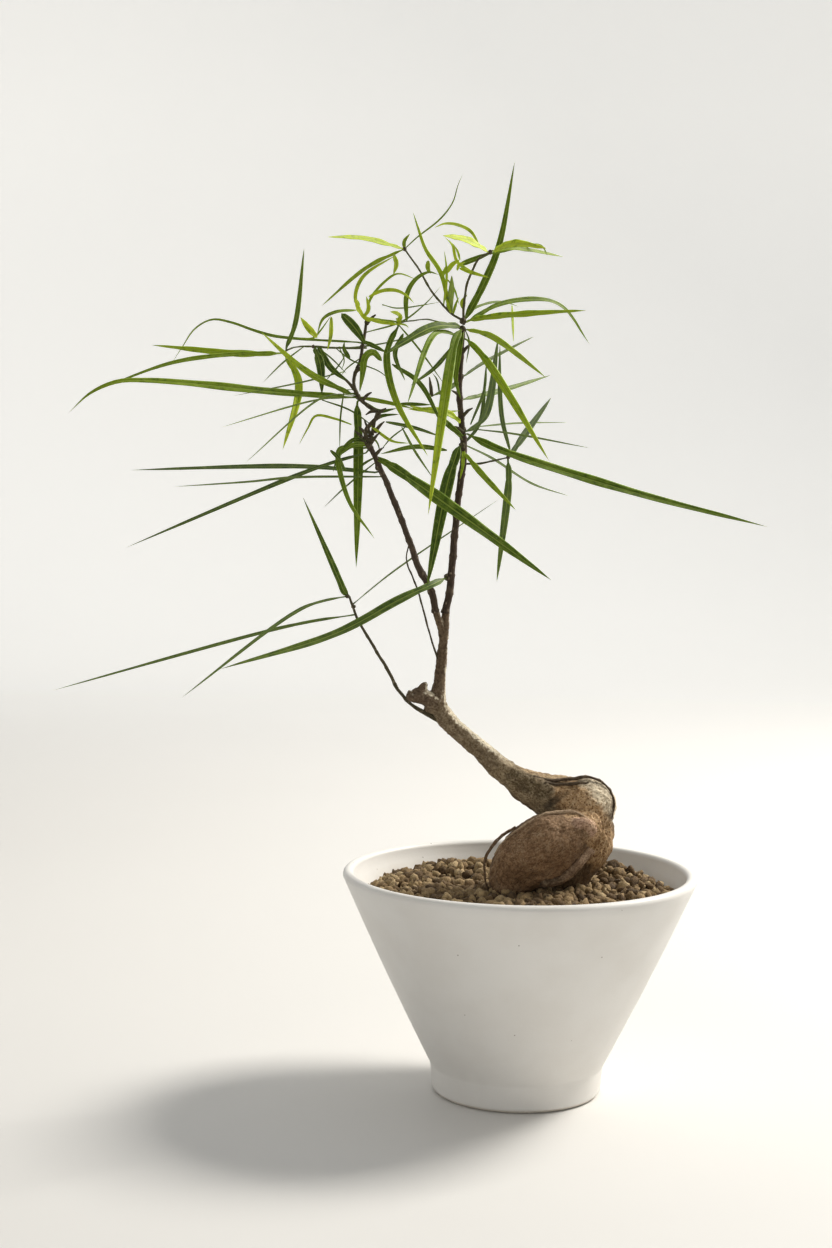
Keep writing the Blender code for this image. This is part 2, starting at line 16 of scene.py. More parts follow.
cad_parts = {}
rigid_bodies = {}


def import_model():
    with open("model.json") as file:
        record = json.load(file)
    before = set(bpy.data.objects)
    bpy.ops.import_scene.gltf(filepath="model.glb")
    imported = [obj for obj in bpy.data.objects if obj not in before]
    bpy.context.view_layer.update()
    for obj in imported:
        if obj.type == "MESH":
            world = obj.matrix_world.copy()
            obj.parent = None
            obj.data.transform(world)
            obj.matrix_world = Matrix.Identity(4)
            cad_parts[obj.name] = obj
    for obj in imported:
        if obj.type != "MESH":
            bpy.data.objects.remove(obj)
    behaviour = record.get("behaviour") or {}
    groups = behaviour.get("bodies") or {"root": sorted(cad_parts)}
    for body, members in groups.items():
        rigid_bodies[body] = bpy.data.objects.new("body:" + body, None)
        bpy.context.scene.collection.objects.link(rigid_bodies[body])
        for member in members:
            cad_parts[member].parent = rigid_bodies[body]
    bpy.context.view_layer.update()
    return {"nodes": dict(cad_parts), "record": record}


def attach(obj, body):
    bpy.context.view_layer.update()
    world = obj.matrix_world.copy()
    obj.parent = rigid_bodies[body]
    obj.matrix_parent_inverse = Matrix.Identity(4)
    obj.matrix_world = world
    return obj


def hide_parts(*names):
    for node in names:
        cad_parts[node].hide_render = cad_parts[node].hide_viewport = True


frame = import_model()

MM = 0.001

# Pot and soil, as in the CAD model
POT_HEIGHT = 85.4 * MM
RIM_RADIUS = 67.5 * MM
FOOT_RADIUS = 33.2 * MM
FOOT_HEIGHT = 10.7 * MM
FOOT_TAPER = 0.8 * MM
FOOT_ROUND = 2.4 * MM
WALL = 4.2 * MM
FLOOR = 6.0 * MM
WALL_BULGE = 0.6 * MM
FLOOR_ROUND = 4.0 * MM
DRAIN_HOLES = 3
DRAIN_RADIUS = 4.0 * MM
DRAIN_CIRCLE = 12.5 * MM
SOIL_LEVEL = POT_HEIGHT - 9.6 * MM
SOIL_MOUND = 4.4 * MM
ROOT_LEVEL = POT_HEIGHT - 8.4 * MM

# Finish
POT_SEGMENTS = 160
BARK_VOXEL = 0.42 * MM
STEM_SIDES = 12
STEM_STEP = 0.8 * MM
LEAF_STEPS = 44
LEAF_HALF_LINES = 4
LEAF_THICKNESS = 0.34 * MM
GRANULE_SIZE = 4.7 * MM
GRANULE_SPACING = 3.0 * MM
GRANULE_LUMPS = 0.54
CRUMB_SIZE = 1.9 * MM
CRUMB_SPACING = 2.4 * MM


# ---------------------------------------------------------------- node trees

class Graph:
    """Builds one node tree, for a material or for geometry."""

    def __init__(self, tree):
        self.tree = tree

    def node(self, kind, settings=None, **sockets):
        """Adds a node: its settings first, then the values or wires of its sockets."""
        made = self.tree.nodes.new(kind)
        for name, value in (settings or {}).items():
            if name == "stops":
                self.set_stops(made.color_ramp, value)
            else:
                setattr(made, name, value)
        for name, value in sockets.items():
            self.feed(find_socket(made.inputs, name), value)
        return Wire(self, made, next((socket for socket in made.outputs if socket.enabled), None))

    def set_stops(self, ramp, stops):
        for index, (place, color) in enumerate(stops):
            stop = ramp.elements[index] if index < 2 else ramp.elements.new(place)
            stop.position = place
            stop.color = (*color, 1.0)

    def feed(self, socket, value):
        if isinstance(value, Wire):
            self.tree.links.new(value.socket, socket)
        elif socket.type == "RGBA" and len(value) == 3:
            socket.default_value = (*value, 1.0)
        else:
            socket.default_value = value

    def math(self, operation, *values):
        made = self.tree.nodes.new("ShaderNodeMath")
        made.operation = operation
        for socket, value in zip(made.inputs, values):
            self.feed(socket, value)
        return Wire(self, made, made.outputs[0])

    # The few nodes that every finish here uses.

    def place(self):
        return self.node("ShaderNodeTexCoord").out("Object")

    def stretched(self, vector, scale, turn=(0, 0, 0)):
        return self.node("ShaderNodeMapping", Vector=vector, Scale=scale, Rotation=turn)

    def attribute(self, name):
        return self.node("ShaderNodeAttribute", {"attribute_name": name})

    def cloud(self, vector, scale, detail=3.0, roughness=0.55, distortion=0.0):
        return self.node("ShaderNodeTexNoise", Vector=vector, Scale=scale, Detail=detail,
                         Roughness=roughness, Distortion=distortion)

    def cells(self, vector, scale, feature="F1"):
        return self.node("ShaderNodeTexVoronoi", {"feature": feature}, Vector=vector, Scale=scale)

    def step(self, value, low, high):
        """0 below low, 1 above high, smooth between; low above high turns it round."""
        return self.node("ShaderNodeMapRange", {"interpolation_type": "SMOOTHSTEP"}, Value=value,
                         From_Min=low, From_Max=high)

    def mix(self, factor, first, second, blend="MIX"):
        mixed = self.node("ShaderNodeMix", {"data_type": "RGBA", "blend_type": blend},
                          Factor_Float=factor, A_Color=first, B_Color=second)
        return mixed.out("Result_Color")

    def layered(self, color, *layers):
        """The colour with each (amount, tint) of the layers mixed over it in turn."""
        for amount, tint in layers:
            color = self.mix(amount, color, tint)
        return color

    def ramp(self, value, *stops):
        return self.node("ShaderNodeValToRGB", {"stops": stops}, Fac=value)

    def bump(self, height, depth, strength=1.0, under=None):
        made = self.node("ShaderNodeBump", Height=height, Distance=depth, Strength=strength)
        if under:
            self.feed(made.node.inputs["Normal"], under)
        return made


class Wire:
    """One socket's value. Arithmetic on it adds Math nodes."""

    def __init__(self, graph, node, socket):
        self.graph = graph
        self.node = node
        self.socket = socket

    def out(self, name):
        return Wire(self.graph, self.node, find_socket(self.node.outputs, name))

    def __add__(self, other):
        return self.graph.math("ADD", self, other)

    def __radd__(self, other):
        return self.graph.math("ADD", other, self)

    def __sub__(self, other):
        return self.graph.math("SUBTRACT", self, other)

    def __rsub__(self, other):
        return self.graph.math("SUBTRACT", other, self)

    def __mul__(self, other):
        return self.graph.math("MULTIPLY", self, other)

    def __rmul__(self, other):
        return self.graph.math("MULTIPLY", other, self)

    def __gt__(self, other):
        return self.graph.math("GREATER_THAN", self, other)

    def __lt__(self, other):
        return self.graph.math("LESS_THAN", self, other)

    def __abs__(self):
        return self.graph.math("ABSOLUTE", self)


def find_socket(sockets, name):
    """A socket by its identifier, or by its name with underscores for spaces."""
    for socket in sockets:
        if socket.identifier == name:
            return socket
    for socket in sockets:
        if socket.enabled and socket.name.replace(" ", "_") == name:
            return socket
    raise KeyError(name)


def finish_named(name, paint):
    """A material whose Principled shader takes what paint(graph) returns."""
    made = bpy.data.materials.new(name)
    made.use_nodes = True
    graph = Graph(made.node_tree)
    shader = made.node_tree.nodes["Principled BSDF"]
    for socket, value in paint(graph).items():
        graph.feed(find_socket(shader.inputs, socket), value)
    return made


# ---------------------------------------------------------------- finishes

def white_ceramic(graph):
    """Matt off-white glaze: faint clouds, a fine orange peel, a few iron specks and a raw foot ring."""
    place = graph.place()
    height = graph.node("ShaderNodeSeparateXYZ", Vector=place).out("Z")
    inside = graph.attribute("inside").out("Fac")
    clouds = graph.cloud(place, 38, 4)
    peel = graph.cloud(place, 1100, 2)
    throwing = graph.cloud(graph.stretched(place, (30, 30, 700)), 1, 2)
    spots = graph.cells(place, 330)
    rare = graph.node("ShaderNodeSeparateColor", Color=spots.out("Color")).out("Red")
    specks = (spots.out("Distance") < 0.085) * (rare > 0.955 - inside * 0.12)
    raw = 1 - graph.step(height, 0.9 * MM, 1.7 * MM)
    near_soil = 1 - graph.step(height, SOIL_LEVEL, SOIL_LEVEL + 5 * MM)
    dust = inside * near_soil * graph.step(clouds, 0.4, 0.7)
    color = graph.layered((0.80, 0.785, 0.755),
                          (graph.step(clouds, 0.35, 0.7), (0.765, 0.745, 0.71)),
                          (dust * 0.35, (0.45, 0.36, 0.25)),
                          (specks * 0.75, (0.16, 0.12, 0.08)),
                          (raw * 0.8, (0.62, 0.56, 0.48)))
    relief = graph.bump(peel, 0.05 * MM, 0.5, graph.bump(throwing, 0.10 * MM, 0.35))
    return {"Base_Color": color, "Normal": relief,
            "Roughness": 0.40 + clouds * 0.16 + raw * 0.3, "Specular_IOR_Level": 0.45}


def soil_grains(graph):
    """Rough fired-clay granules, each of its own tone, with painted shade darkening the low parts of each
    granule.
    """
    place = graph.place()
    tone = graph.attribute("tone").out("Fac")
    lump_shade = graph.attribute("lump_shade").out("Fac")
    grit = graph.cloud(place, 1500, 4, 0.65)
    pores = graph.cells(place, 1900).out("Distance")
    color = graph.ramp(tone * 0.58 + grit * 0.46, (0.14, (0.055, 0.031, 0.013)),
                       (0.42, (0.165, 0.103, 0.045)), (0.68, (0.34, 0.235, 0.115)),
                       (0.97, (0.62, 0.48, 0.28)))
    # Painted shade darkens the low parts of each granule.
    color = graph.layered(color, (graph.step(lump_shade, 0.52, 0.32) * 0.85, (0.045, 0.025, 0.011)),
                          (graph.step(pores, 0.30, 0.1) * 0.65, (0.055, 0.032, 0.015)))
    relief = graph.bump(grit, 0.45 * MM, 0.9, graph.bump(pores, 0.25 * MM, 0.6))
    return {"Base_Color": color, "Normal": relief, "Roughness": 0.86 + grit * 0.12}


def fines_and_gap_shade(graph):
    """The dark damp fines that show between the granules, made darker still as painted shade of the gaps.
    """
    place = graph.place()
    grit = graph.cloud(place, 900, 5, 0.7)
    # Very dark, partly painted shade in the gaps between the granules.
    color = graph.ramp(grit, (0.3, (0.03, 0.018, 0.009)), (0.75, (0.12, 0.078, 0.04)))
    return {"Base_Color": color, "Normal": graph.bump(grit, 0.6 * MM, 0.9),
            "Roughness": 0.85 + grit * 0.1}


def old_bark(graph):
    """Fibrous speckled bark. Its ground colour, with painted highlights and painted shade in it, is laid
    on the mesh, region by region.
    """
    place = graph.place()
    fibre_place = graph.attribute("fibre").out("Vector")
    ground = graph.attribute("ground").out("Color")
    speckle = graph.attribute("speckle").out("Fac")
    fibres = graph.cloud(graph.stretched(fibre_place, (1.2, 1.2, 0.42)), 1, 5, 0.68, 0.8)
    grain = graph.cloud(place, 1250, 4, 0.72)
    patches = graph.cloud(place, 260, 4, 0.6, 0.6)
    blotches = graph.cloud(graph.stretched(fibre_place, (0.75, 0.75, 0.5)), 1, 3, 0.7, 0.5)
    pits = graph.cells(place, 780).out("Distance")
    holes = graph.step(pits, 0.40, 0.18) * (0.18 + speckle * 0.80)
    dark = graph.mix(1.0, ground, (0.32, 0.26, 0.20), "MULTIPLY")
    pale = graph.mix(0.12 + speckle * 0.42, ground, (0.76, 0.62, 0.43))
    color = graph.layered(ground,
                          (graph.step(fibres, 0.60, 0.36) * 0.60, dark),
                          (graph.step(fibres, 0.56, 0.76) * 0.40, pale),
                          (graph.step(grain, 0.52, 0.66) * (0.30 + speckle * 0.55), pale),
                          (graph.step(grain, 0.48, 0.34) * (0.55 + speckle * 0.40), dark),
                          (graph.step(patches, 0.52, 0.66) * 0.30, pale),
                          (graph.step(patches, 0.44, 0.30) * 0.40, dark),
                          (graph.step(blotches, 0.46, 0.36) * 0.7, dark),
                          (holes, dark))
    relief = graph.bump(grain, 0.26 * MM, 0.8, graph.bump(pits, 0.20 * MM, 0.7))
    relief = graph.bump(fibres, 0.30 * MM, 0.7, relief)
    return {"Base_Color": color, "Normal": relief, "Roughness": 0.70 + grain * 0.22,
            "Specular_IOR_Level": 0.3}


def young_bark(graph):
    """Dark brown twig bark with fine lengthwise lines and small pale pores."""
    place = graph.place()
    lines = graph.cloud(graph.stretched(graph.attribute("fibre").out("Vector"), (2.6, 2.6, 0.35)), 1, 4,
                        0.6)
    grain = graph.cloud(place, 1500, 3, 0.7)
    patches = graph.cloud(place, 160, 3, 0.6)
    pores = graph.cells(graph.stretched(place, (900, 900, 380)), 1)
    rare = graph.node("ShaderNodeSeparateColor", Color=pores.out("Color")).out("Green")
    lenticels = graph.step(pores.out("Distance"), 0.30, 0.16) * (rare > 0.62)
    color = graph.ramp(lines, (0.28, (0.022, 0.013, 0.007)), (0.55, (0.060, 0.038, 0.023)),
                       (0.80, (0.13, 0.088, 0.055)))
    color = graph.layered(color, (graph.step(patches, 0.5, 0.72) * 0.45, (0.15, 0.105, 0.07)),
                          (lenticels * 0.7, (0.30, 0.23, 0.16)),
                          (graph.attribute("green").out("Fac") * graph.step(lines, 0.25, 0.6),
                           (0.15, 0.19, 0.05)))
    relief = graph.bump(lines, 0.16 * MM, 0.7, graph.bump(grain, 0.10 * MM, 0.6))
    return {"Base_Color": color, "Normal": relief, "Roughness": 0.62 + grain * 0.25,
            "Specular_IOR_Level": 0.35}


def leaf_skin(graph):
    """A leaf whose youth and bloom are laid on its mesh, with a pale midrib and fine veins."""
    place = graph.place()
    laid = graph.node("ShaderNodeSeparateXYZ", Vector=graph.attribute("blade").out("Vector"))
    across = laid.out("X")
    along = laid.out("Y")
    youth = graph.attribute("youth").out("Fac")
    bloom = graph.attribute("bloom").out("Fac")
    centre = abs(across - 0.5) * 2
    mottle = graph.cloud(place, 330, 4, 0.65)
    fleck = graph.cloud(place, 1400, 3, 0.7)
    ribs = graph.cloud(graph.node("ShaderNodeCombineXYZ", X=across * 26, Y=along * 5), 1, 2, 0.5)
    green = graph.ramp(youth, (0.0, (0.022, 0.048, 0.004)), (0.25, (0.060, 0.110, 0.005)),
                       (0.50, (0.155, 0.240, 0.006)), (0.75, (0.38, 0.50, 0.010)),
                       (1.0, (0.60, 0.70, 0.030)))
    lighter = graph.mix(0.50, green, (0.42, 0.52, 0.09))
    darker = graph.mix(1.0, green, (0.38, 0.46, 0.36), "MULTIPLY")
    color = graph.layered(green,
                          (graph.step(mottle, 0.50, 0.66) * 0.45, lighter),
                          (graph.step(mottle, 0.48, 0.34) * 0.85, darker),
                          (graph.step(ribs, 0.52, 0.70) * 0.50, lighter),
                          (graph.step(ribs, 0.46, 0.32) * 0.50, darker),
                          (graph.step(centre, 0.78, 0.92) * 0.65, lighter),
                          (graph.step(centre, 0.30, 0.20) * graph.step(centre, 0.08, 0.16) * 0.5,
                           darker),
                          (graph.step(centre, 0.17, 0.06) * 0.85, lighter),
                          (bloom * 0.55, (0.235, 0.285, 0.20)),
                          (graph.step(fleck, 0.62, 0.72) * 0.30, (0.50, 0.54, 0.30)),
                          (graph.step(along, 0.965, 1.0) * 0.6, (0.36, 0.30, 0.13)))
    relief = graph.bump(ribs, 0.06 * MM, 0.6, graph.bump(mottle, 0.10 * MM, 0.45))
    return {"Base_Color": color, "Normal": relief, "Roughness": 0.46 + mottle * 0.22 + bloom * 0.12,
            "Specular_IOR_Level": 0.22, "Subsurface_Weight": 0.12, "Subsurface_Radius": (0.5, 1.0, 0.10),
            "Subsurface_Scale": 0.4 * MM}


def screen_plastic(graph):
    """Black moulded plastic mesh, a little dusty."""
    place = graph.place()
    grain = graph.cloud(place, 1400, 3, 0.6)
    dust = graph.cloud(place, 130, 4, 0.6)
    color = graph.mix(graph.step(dust, 0.5, 0.75) * 0.5, (0.018, 0.018, 0.019), (0.12, 0.095, 0.065))
    return {"Base_Color": color, "Normal": graph.bump(grain, 0.06 * MM, 0.5),
            "Roughness": 0.46 + dust * 0.25}


def studio_floor(graph):
    """A pale sweep that glows as painted light, a little brighter behind the plant than before it."""
    place = graph.place()
    depth = graph.node("ShaderNodeSeparateXYZ", Vector=place).out("Y")
    color = graph.mix(graph.cloud(place, 3, 2), (0.73, 0.72, 0.70), (0.76, 0.75, 0.73))
    # Painted light: the backdrop glows, more behind the plant than before it.
    glow = graph.mix(graph.step(depth, 0.4, 2.2), (0.0, 0.0, 0.0), (0.40, 0.40, 0.39))
    return {"Base_Color": color, "Roughness": 0.6, "Emission_Color": glow, "Emission_Strength": 1.0}


# ---------------------------------------------------------------- meshes

def add_piece(name, points, faces, finish, slot=None, replaced=()):
    """A smooth mesh object: with a slot a piece of the plant, otherwise a helper or the stage."""
    mesh = bpy.data.meshes.new(name)
    mesh.from_pydata([tuple(point) for point in points], [], faces)
    mesh.shade_smooth()
    if finish:
        mesh.materials.append(finish)
    made = bpy.data.objects.new(name, mesh)
    bpy.context.scene.collection.objects.link(made)
    if slot:
        settle(made, replaced)
    return made


def settle(piece, replaced=()):
    """The piece rides on the one body, and stands for its CAD nodes."""
    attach(piece, "root")
    if replaced:
        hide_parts(*replaced)


def as_plain_mesh(source, name):
    """A new object with the evaluated mesh of the source, which is removed."""
    graph = bpy.context.evaluated_depsgraph_get()
    mesh = bpy.data.meshes.new_from_object(source.evaluated_get(graph))
    mesh.name = name
    made = bpy.data.objects.new(name, mesh)
    bpy.context.scene.collection.objects.link(made)
    bpy.data.objects.remove(source)
    return made


def lay_on(mesh, name, kind, values):
    """Stores one value for each vertex: FLOAT, FLOAT_VECTOR or FLOAT_COLOR."""
    layer = mesh.attributes.new(name, kind, "POINT")
    field = {"FLOAT": "value", "FLOAT_VECTOR": "vector", "FLOAT_COLOR": "color"}[kind]
    layer.data.foreach_set(field, np.asarray(values, np.float32).ravel())


def band(first, second):
    """Faces between two rings of point numbers, either of which may be a single point."""
    count = max(len(first), len(second))
    faces = []
    for step in range(count):
        following = (step + 1) % count
        if len(first) == 1:
            faces.append((first[0], second[following], second[step]))
        elif len(second) == 1:
            faces.append((first[step], first[following], second[0]))
        else:
            faces.append((first[step], first[following], second[following], second[step]))
    return faces


def sheet(rings):
    """Faces from each ring of point numbers to the next."""
    return [face for low, high in zip(rings, rings[1:]) for face in band(low, high)]


def lathe(profile, segments):
    """Points and faces of a (radius, height) profile turned about Z, closed flat at both ends."""
    points = []
    rings = []
    for radius, height in profile:
        rings.append(list(range(len(points), len(points) + segments)))
        for step in range(segments):
            angle = math.tau * step / segments
            points.append((radius * math.cos(angle), radius * math.sin(angle), height))
    return points, [tuple(reversed(rings[0])), tuple(rings[-1]), *sheet(rings)]


def arc(centre_r, centre_z, radius, start, end, steps):
    """Points of (radius, height) on an arc, angles in degrees."""
    points = []
    for step in range(steps + 1):
        angle = math.radians(start + (end - start) * step / steps)
        points.append((centre_r + radius * math.cos(angle), centre_z + radius * math.sin(angle)))
    return points


def smooth_rows(rows, count):
    """`count` rows, evenly along a smooth curve through rows whose first three numbers are a place."""
    rows = np.asarray(rows, float)
    padded = np.vstack([rows[0] * 2 - rows[1], rows, rows[-1] * 2 - rows[-2]])
    fine = []
    for a, b, c, d in zip(padded, padded[1:], padded[2:], padded[3:]):
        for t in np.arange(0, 1, 0.05):
            fine.append(0.5 * (2 * b + (c - a) * t + (2 * a - 5 * b + 4 * c - d) * t * t
                               + (3 * b - a - 3 * c + d) * t ** 3))
    fine = np.array([*fine, rows[-1]])
    lengths = distances_along(fine[:, :3])
    wanted = np.linspace(0, lengths[-1], count)
    return np.stack([np.interp(wanted, lengths, column) for column in fine.T], axis=1)


def length_of(rows):
    return float(np.linalg.norm(np.diff(np.asarray(rows)[:, :3], axis=0), axis=1).sum())


def distances_along(places):
    """How far along each place lies from the first."""
    return np.concatenate([[0], np.cumsum(np.linalg.norm(np.diff(places, axis=0), axis=1))])


def unit(vectors):
    return vectors / np.maximum(np.linalg.norm(vectors, axis=-1, keepdims=True), 1e-12)


def directions_of(points):
    padded = np.vstack([points[:1], points, points[-1:]])
    return unit(padded[2:] - padded[:-2])


def side_vectors(directions):
    """Two vectors across each direction, which turn as little as they can on the way."""
    across = np.cross(directions[0], (0.3, 0.9, 0.2))
    sides = []
    for direction in directions:
        across = unit(across - direction * np.dot(across, direction))
        sides.append(across)
    return np.array(sides), np.cross(directions, sides)


def smoothstep(values, low, high):
    share = np.clip((np.asarray(values, float) - low) / (high - low), 0, 1)
    return share * share * (3 - 2 * share)


def tube(rows, sides, wobble=0.0, seed=0.0):
    """Points, faces and fibre places of a round limb of (x, y, z, radius) rows, with domed ends."""
    centres = rows[:, :3]
    radii = rows[:, 3]
    directions = directions_of(centres)
    distances = distances_along(centres)
    points = [centres[0] - directions[0] * radii[0] * 0.4]
    fibre = [(0, 0, -1)]
    rings = [[0]]
    stations = zip(centres, *side_vectors(directions), radii, distances)
    for centre, across, around, radius, distance in stations:
        rings.append(list(range(len(points), len(points) + sides)))
        for step in range(sides):
            angle = math.tau * step / sides
            out = across * math.cos(angle) + around * math.sin(angle)
            place = centre + out * radius
            if wobble:
                swell = noise.noise(Vector(place / (1.3 * MM)) + Vector((seed, 0, 0)))
                place = place + out * wobble * swell
            points.append(place)
            fibre.append((math.cos(angle) * 2, math.sin(angle) * 2, distance / MM))
    rings.append([len(points)])
    points.append(centres[-1] + directions[-1] * radii[-1] * 0.8)
    fibre.append((0, 0, distances[-1] / MM + 1))
    return points, sheet(rings), fibre


class Gathered:
    """Several closed shapes as one mesh, with what is laid on their points."""

    def __init__(self):
        self.points = []
        self.faces = []
        self.laid = []
        self.counts = []

    def add(self, points, faces, laid):
        self.faces += [tuple(index + len(self.points) for index in face) for face in faces]
        self.points += list(points)
        self.laid += list(laid)
        self.counts.append(len(points))


def planted(x, y, height):
    """A place on the tree, given in millimetres from the pot's axis and from the root's own level."""
    return np.array((x * MM, y * MM, ROOT_LEVEL + height * MM))


# ---------------------------------------------------------------- the frame's own midlines

def rings_of(node, around):
    """The rings of a CAD leaf (4 points each) or stem (8), from its base to its tip.

    Each ring holds the points that are one edge further from the tip than the ring before it.
    """
    shape = bmesh.new()
    shape.from_mesh(frame["nodes"][node].data)
    bmesh.ops.remove_doubles(shape, verts=shape.verts[:], dist=0.001 * MM)
    for tip in [vert for vert in shape.verts if len(vert.link_edges) == around]:
        rings = rings_from(tip)
        if all(len(ring) == around for ring in rings[1:-1]):
            break
    found = [[vert.co.copy() for vert in ring] for ring in rings]
    shape.free()
    return found


def rings_from(tip):
    seen = {tip}
    rings = [[tip]]
    while rings[-1]:
        following = []
        for vert in rings[-1]:
            for edge in vert.link_edges:
                other = edge.other_vert(vert)
                if other not in seen:
                    seen.add(other)
                    following.append(other)
        rings.append(following)
    return rings[:-1]


def centre_of(ring):
    return sum(ring, Vector()) / len(ring)


def stem_rows(node):
    """The (x, y, z, radius) rows of a CAD stem, from its thicker end."""
    rows = []
    for ring in rings_of(node, 8):
        if len(ring) == 8:
            middle = centre_of(ring)
            rows.append((*middle, sum((point - middle).length for point in ring) / 8))
    return rows if rows[0][3] >= rows[-1][3] else rows[::-1]


def leaf_rows(node):
    """The (x, y, z, half width) rows of a CAD leaf from base to tip, and each one's side vector."""
    rows = []
    sides = []
    for ring in reversed(rings_of(node, 4)):
        if len(ring) == 1:
            rows.append((*ring[0], 0.0))
            sides.append(sides[-1])
            continue
        pairs = [(a, b) for index, a in enumerate(ring) for b in ring[index + 1:]]
        first, second = max(pairs, key=lambda pair: (pair[0] - pair[1]).length)
        side = (second - first) / 2
        if sides and side.dot(sides[-1]) < 0:
            side = -side
        rows.append((*centre_of(ring), side.length))
        sides.append(side.normalized())
    return rows, sides


# ---------------------------------------------------------------- pot

def outer_wall(height):
    share = (height - FOOT_HEIGHT) / (POT_HEIGHT - WALL / 2 - FOOT_HEIGHT)
    return FOOT_RADIUS + (RIM_RADIUS - FOOT_RADIUS) * share + WALL_BULGE * math.sin(math.pi * share)


def inner_wall(height):
    return outer_wall(height) - WALL


def softened(profile, sharp, cut, steps=5):
    """The profile with its corner at index `sharp` rounded over `cut` along each side."""
    before, corner, after = (np.array(profile[index]) for index in (sharp - 1, sharp, sharp + 1))
    start = corner + unit(before - corner) * cut
    end = corner + unit(after - corner) * cut
    bend = []
    for step in range(steps + 1):
        t = step / steps
        bend.append(tuple(start * (1 - t) ** 2 + corner * 2 * t * (1 - t) + end * t * t))
    return profile[:sharp] + bend + profile[sharp + 1:]


def make_pot(finish):
    lip = WALL / 2
    lip_height = POT_HEIGHT - lip
    floor_edge = inner_wall(FOOT_HEIGHT) - FLOOR_ROUND
    wall_steps = 22
    heights = [FOOT_HEIGHT + (lip_height - FOOT_HEIGHT) * step / wall_steps
               for step in range(wall_steps + 1)]
    profile = [(FOOT_RADIUS * share, 0.0) for share in (0.62, 0.78)]
    profile += arc(FOOT_RADIUS - FOOT_TAPER - FOOT_ROUND, FOOT_ROUND, FOOT_ROUND, -90, 0, 8)
    profile += [(FOOT_RADIUS - FOOT_TAPER * 0.5, FOOT_HEIGHT * 0.6)]
    corner = len(profile)
    profile += [(outer_wall(height), height) for height in heights[:-1]]
    profile = softened(profile, corner, 0.8 * MM)
    profile += arc(outer_wall(lip_height) - lip, lip_height, lip, 0, 180, 14)
    outside_rings = len(profile) - 7
    profile += [(inner_wall(height), height) for height in reversed(heights[1:-1])]
    profile += [(inner_wall(FLOOR + FLOOR_ROUND), FLOOR + FLOOR_ROUND)]
    profile += [(floor_edge + FLOOR_ROUND * 0.7, FLOOR + FLOOR_ROUND * 0.3), (floor_edge, FLOOR)]
    profile += [(floor_edge * 0.93, FLOOR)]
    points, faces = lathe(profile, POT_SEGMENTS)
    inside = [float(index // POT_SEGMENTS >= outside_rings) for index in range(len(points))]
    body = add_piece("pot_body", points, faces, finish)
    lay_on(body.data, "inside", "FLOAT", inside)
    for number in range(DRAIN_HOLES):
        angle = math.tau * number / DRAIN_HOLES + math.radians(90)
        hole, sides = lathe([(DRAIN_RADIUS, -FLOOR), (DRAIN_RADIUS, FLOOR * 2)], 48)
        centre = np.array((DRAIN_CIRCLE * math.cos(angle), DRAIN_CIRCLE * math.sin(angle), 0))
        cut = body.modifiers.new(f"drain {number}", "BOOLEAN")
        cut.object = add_piece(f"drain_cutter_{number}", np.array(hole) + centre, sides, finish)
        cut.operation = "DIFFERENCE"
    pot = as_plain_mesh(body, "glazed_pot")
    for number in range(DRAIN_HOLES):
        bpy.data.objects.remove(bpy.data.objects[f"drain_cutter_{number}"])
    pot.data.set_sharp_from_angle(angle=math.radians(50))
    settle(pot, ("pot",))


# ---------------------------------------------------------------- soil

# Heaps and hollows of the top dressing: x, y, radius and rise, in millimetres.
HEAPS = ((-27, 29, 14, 4.4), (-13, 27, 9, 2.6), (36, 25, 11, 5.2), (47, 19, 10, 5.0), (54, 3, 10, 4.2),
         (-49, 16, 11, 4.2), (-54, 0, 9, 2.6), (14, 34, 13, 2.4), (44, -12, 12, 2.2),
         (-38, -14, 14, 1.6), (-18, 2, 9, -1.4), (2, -30, 14, 0.2))


def soil_height(x, y):
    """The level of the top dressing's middle, domed and heaped."""
    share = min(math.hypot(x, y) / inner_wall(SOIL_LEVEL), 1.0)
    height = SOIL_LEVEL + SOIL_MOUND * math.cos(share * math.pi / 2) ** 0.8 - 1.6 * MM
    for heap_x, heap_y, radius, rise in HEAPS:
        gap = math.hypot(x / MM - heap_x, y / MM - heap_y) / radius
        height += rise * MM * math.exp(-gap * gap) * (1 - share ** 8)
    return height + 1.6 * MM * noise.noise(Vector((x, y, 0)) / (8 * MM))


def soil_disc(radius, rings, sides, sunk=0.0):
    """Points and ring numbers of a disc that follows the soil's level, from its edge to its centre."""
    points = []
    numbers = []
    for ring in range(rings):
        numbers.append(list(range(len(points), len(points) + sides)))
        reach = radius * (1 - ring / rings)
        for step in range(sides):
            x = reach * math.cos(math.tau * step / sides)
            y = reach * math.sin(math.tau * step / sides)
            points.append((x, y, soil_height(x, y) - sunk))
    numbers.append([len(points)])
    points.append((0, 0, soil_height(0, 0) - sunk))
    return points, numbers


def make_soil_bed(finish):
    """The closed body of soil below the granules."""
    sides = 96
    base = FLOOR + 1.6 * MM
    low_edge = FLOOR + FLOOR_ROUND
    gap = 0.35 * MM
    walls = [(inner_wall(low_edge) - gap - (low_edge - base), base)]
    top = SOIL_LEVEL - 4.4 * MM
    walls += [(inner_wall(height) - gap, height) for height in np.linspace(low_edge, top, 8)]
    points, faces = lathe(walls, sides)
    faces.pop(1)
    cap, numbers = soil_disc(inner_wall(top) - gap - 0.6 * MM, 34, sides, 1.2 * MM)
    numbers = [[number + len(points) for number in ring] for ring in numbers]
    rim = list(range(len(points) - sides, len(points)))
    faces += sheet([rim, *numbers])
    add_piece("soil_bed", points + cap, faces, finish, "soil_grains", ("soil",))


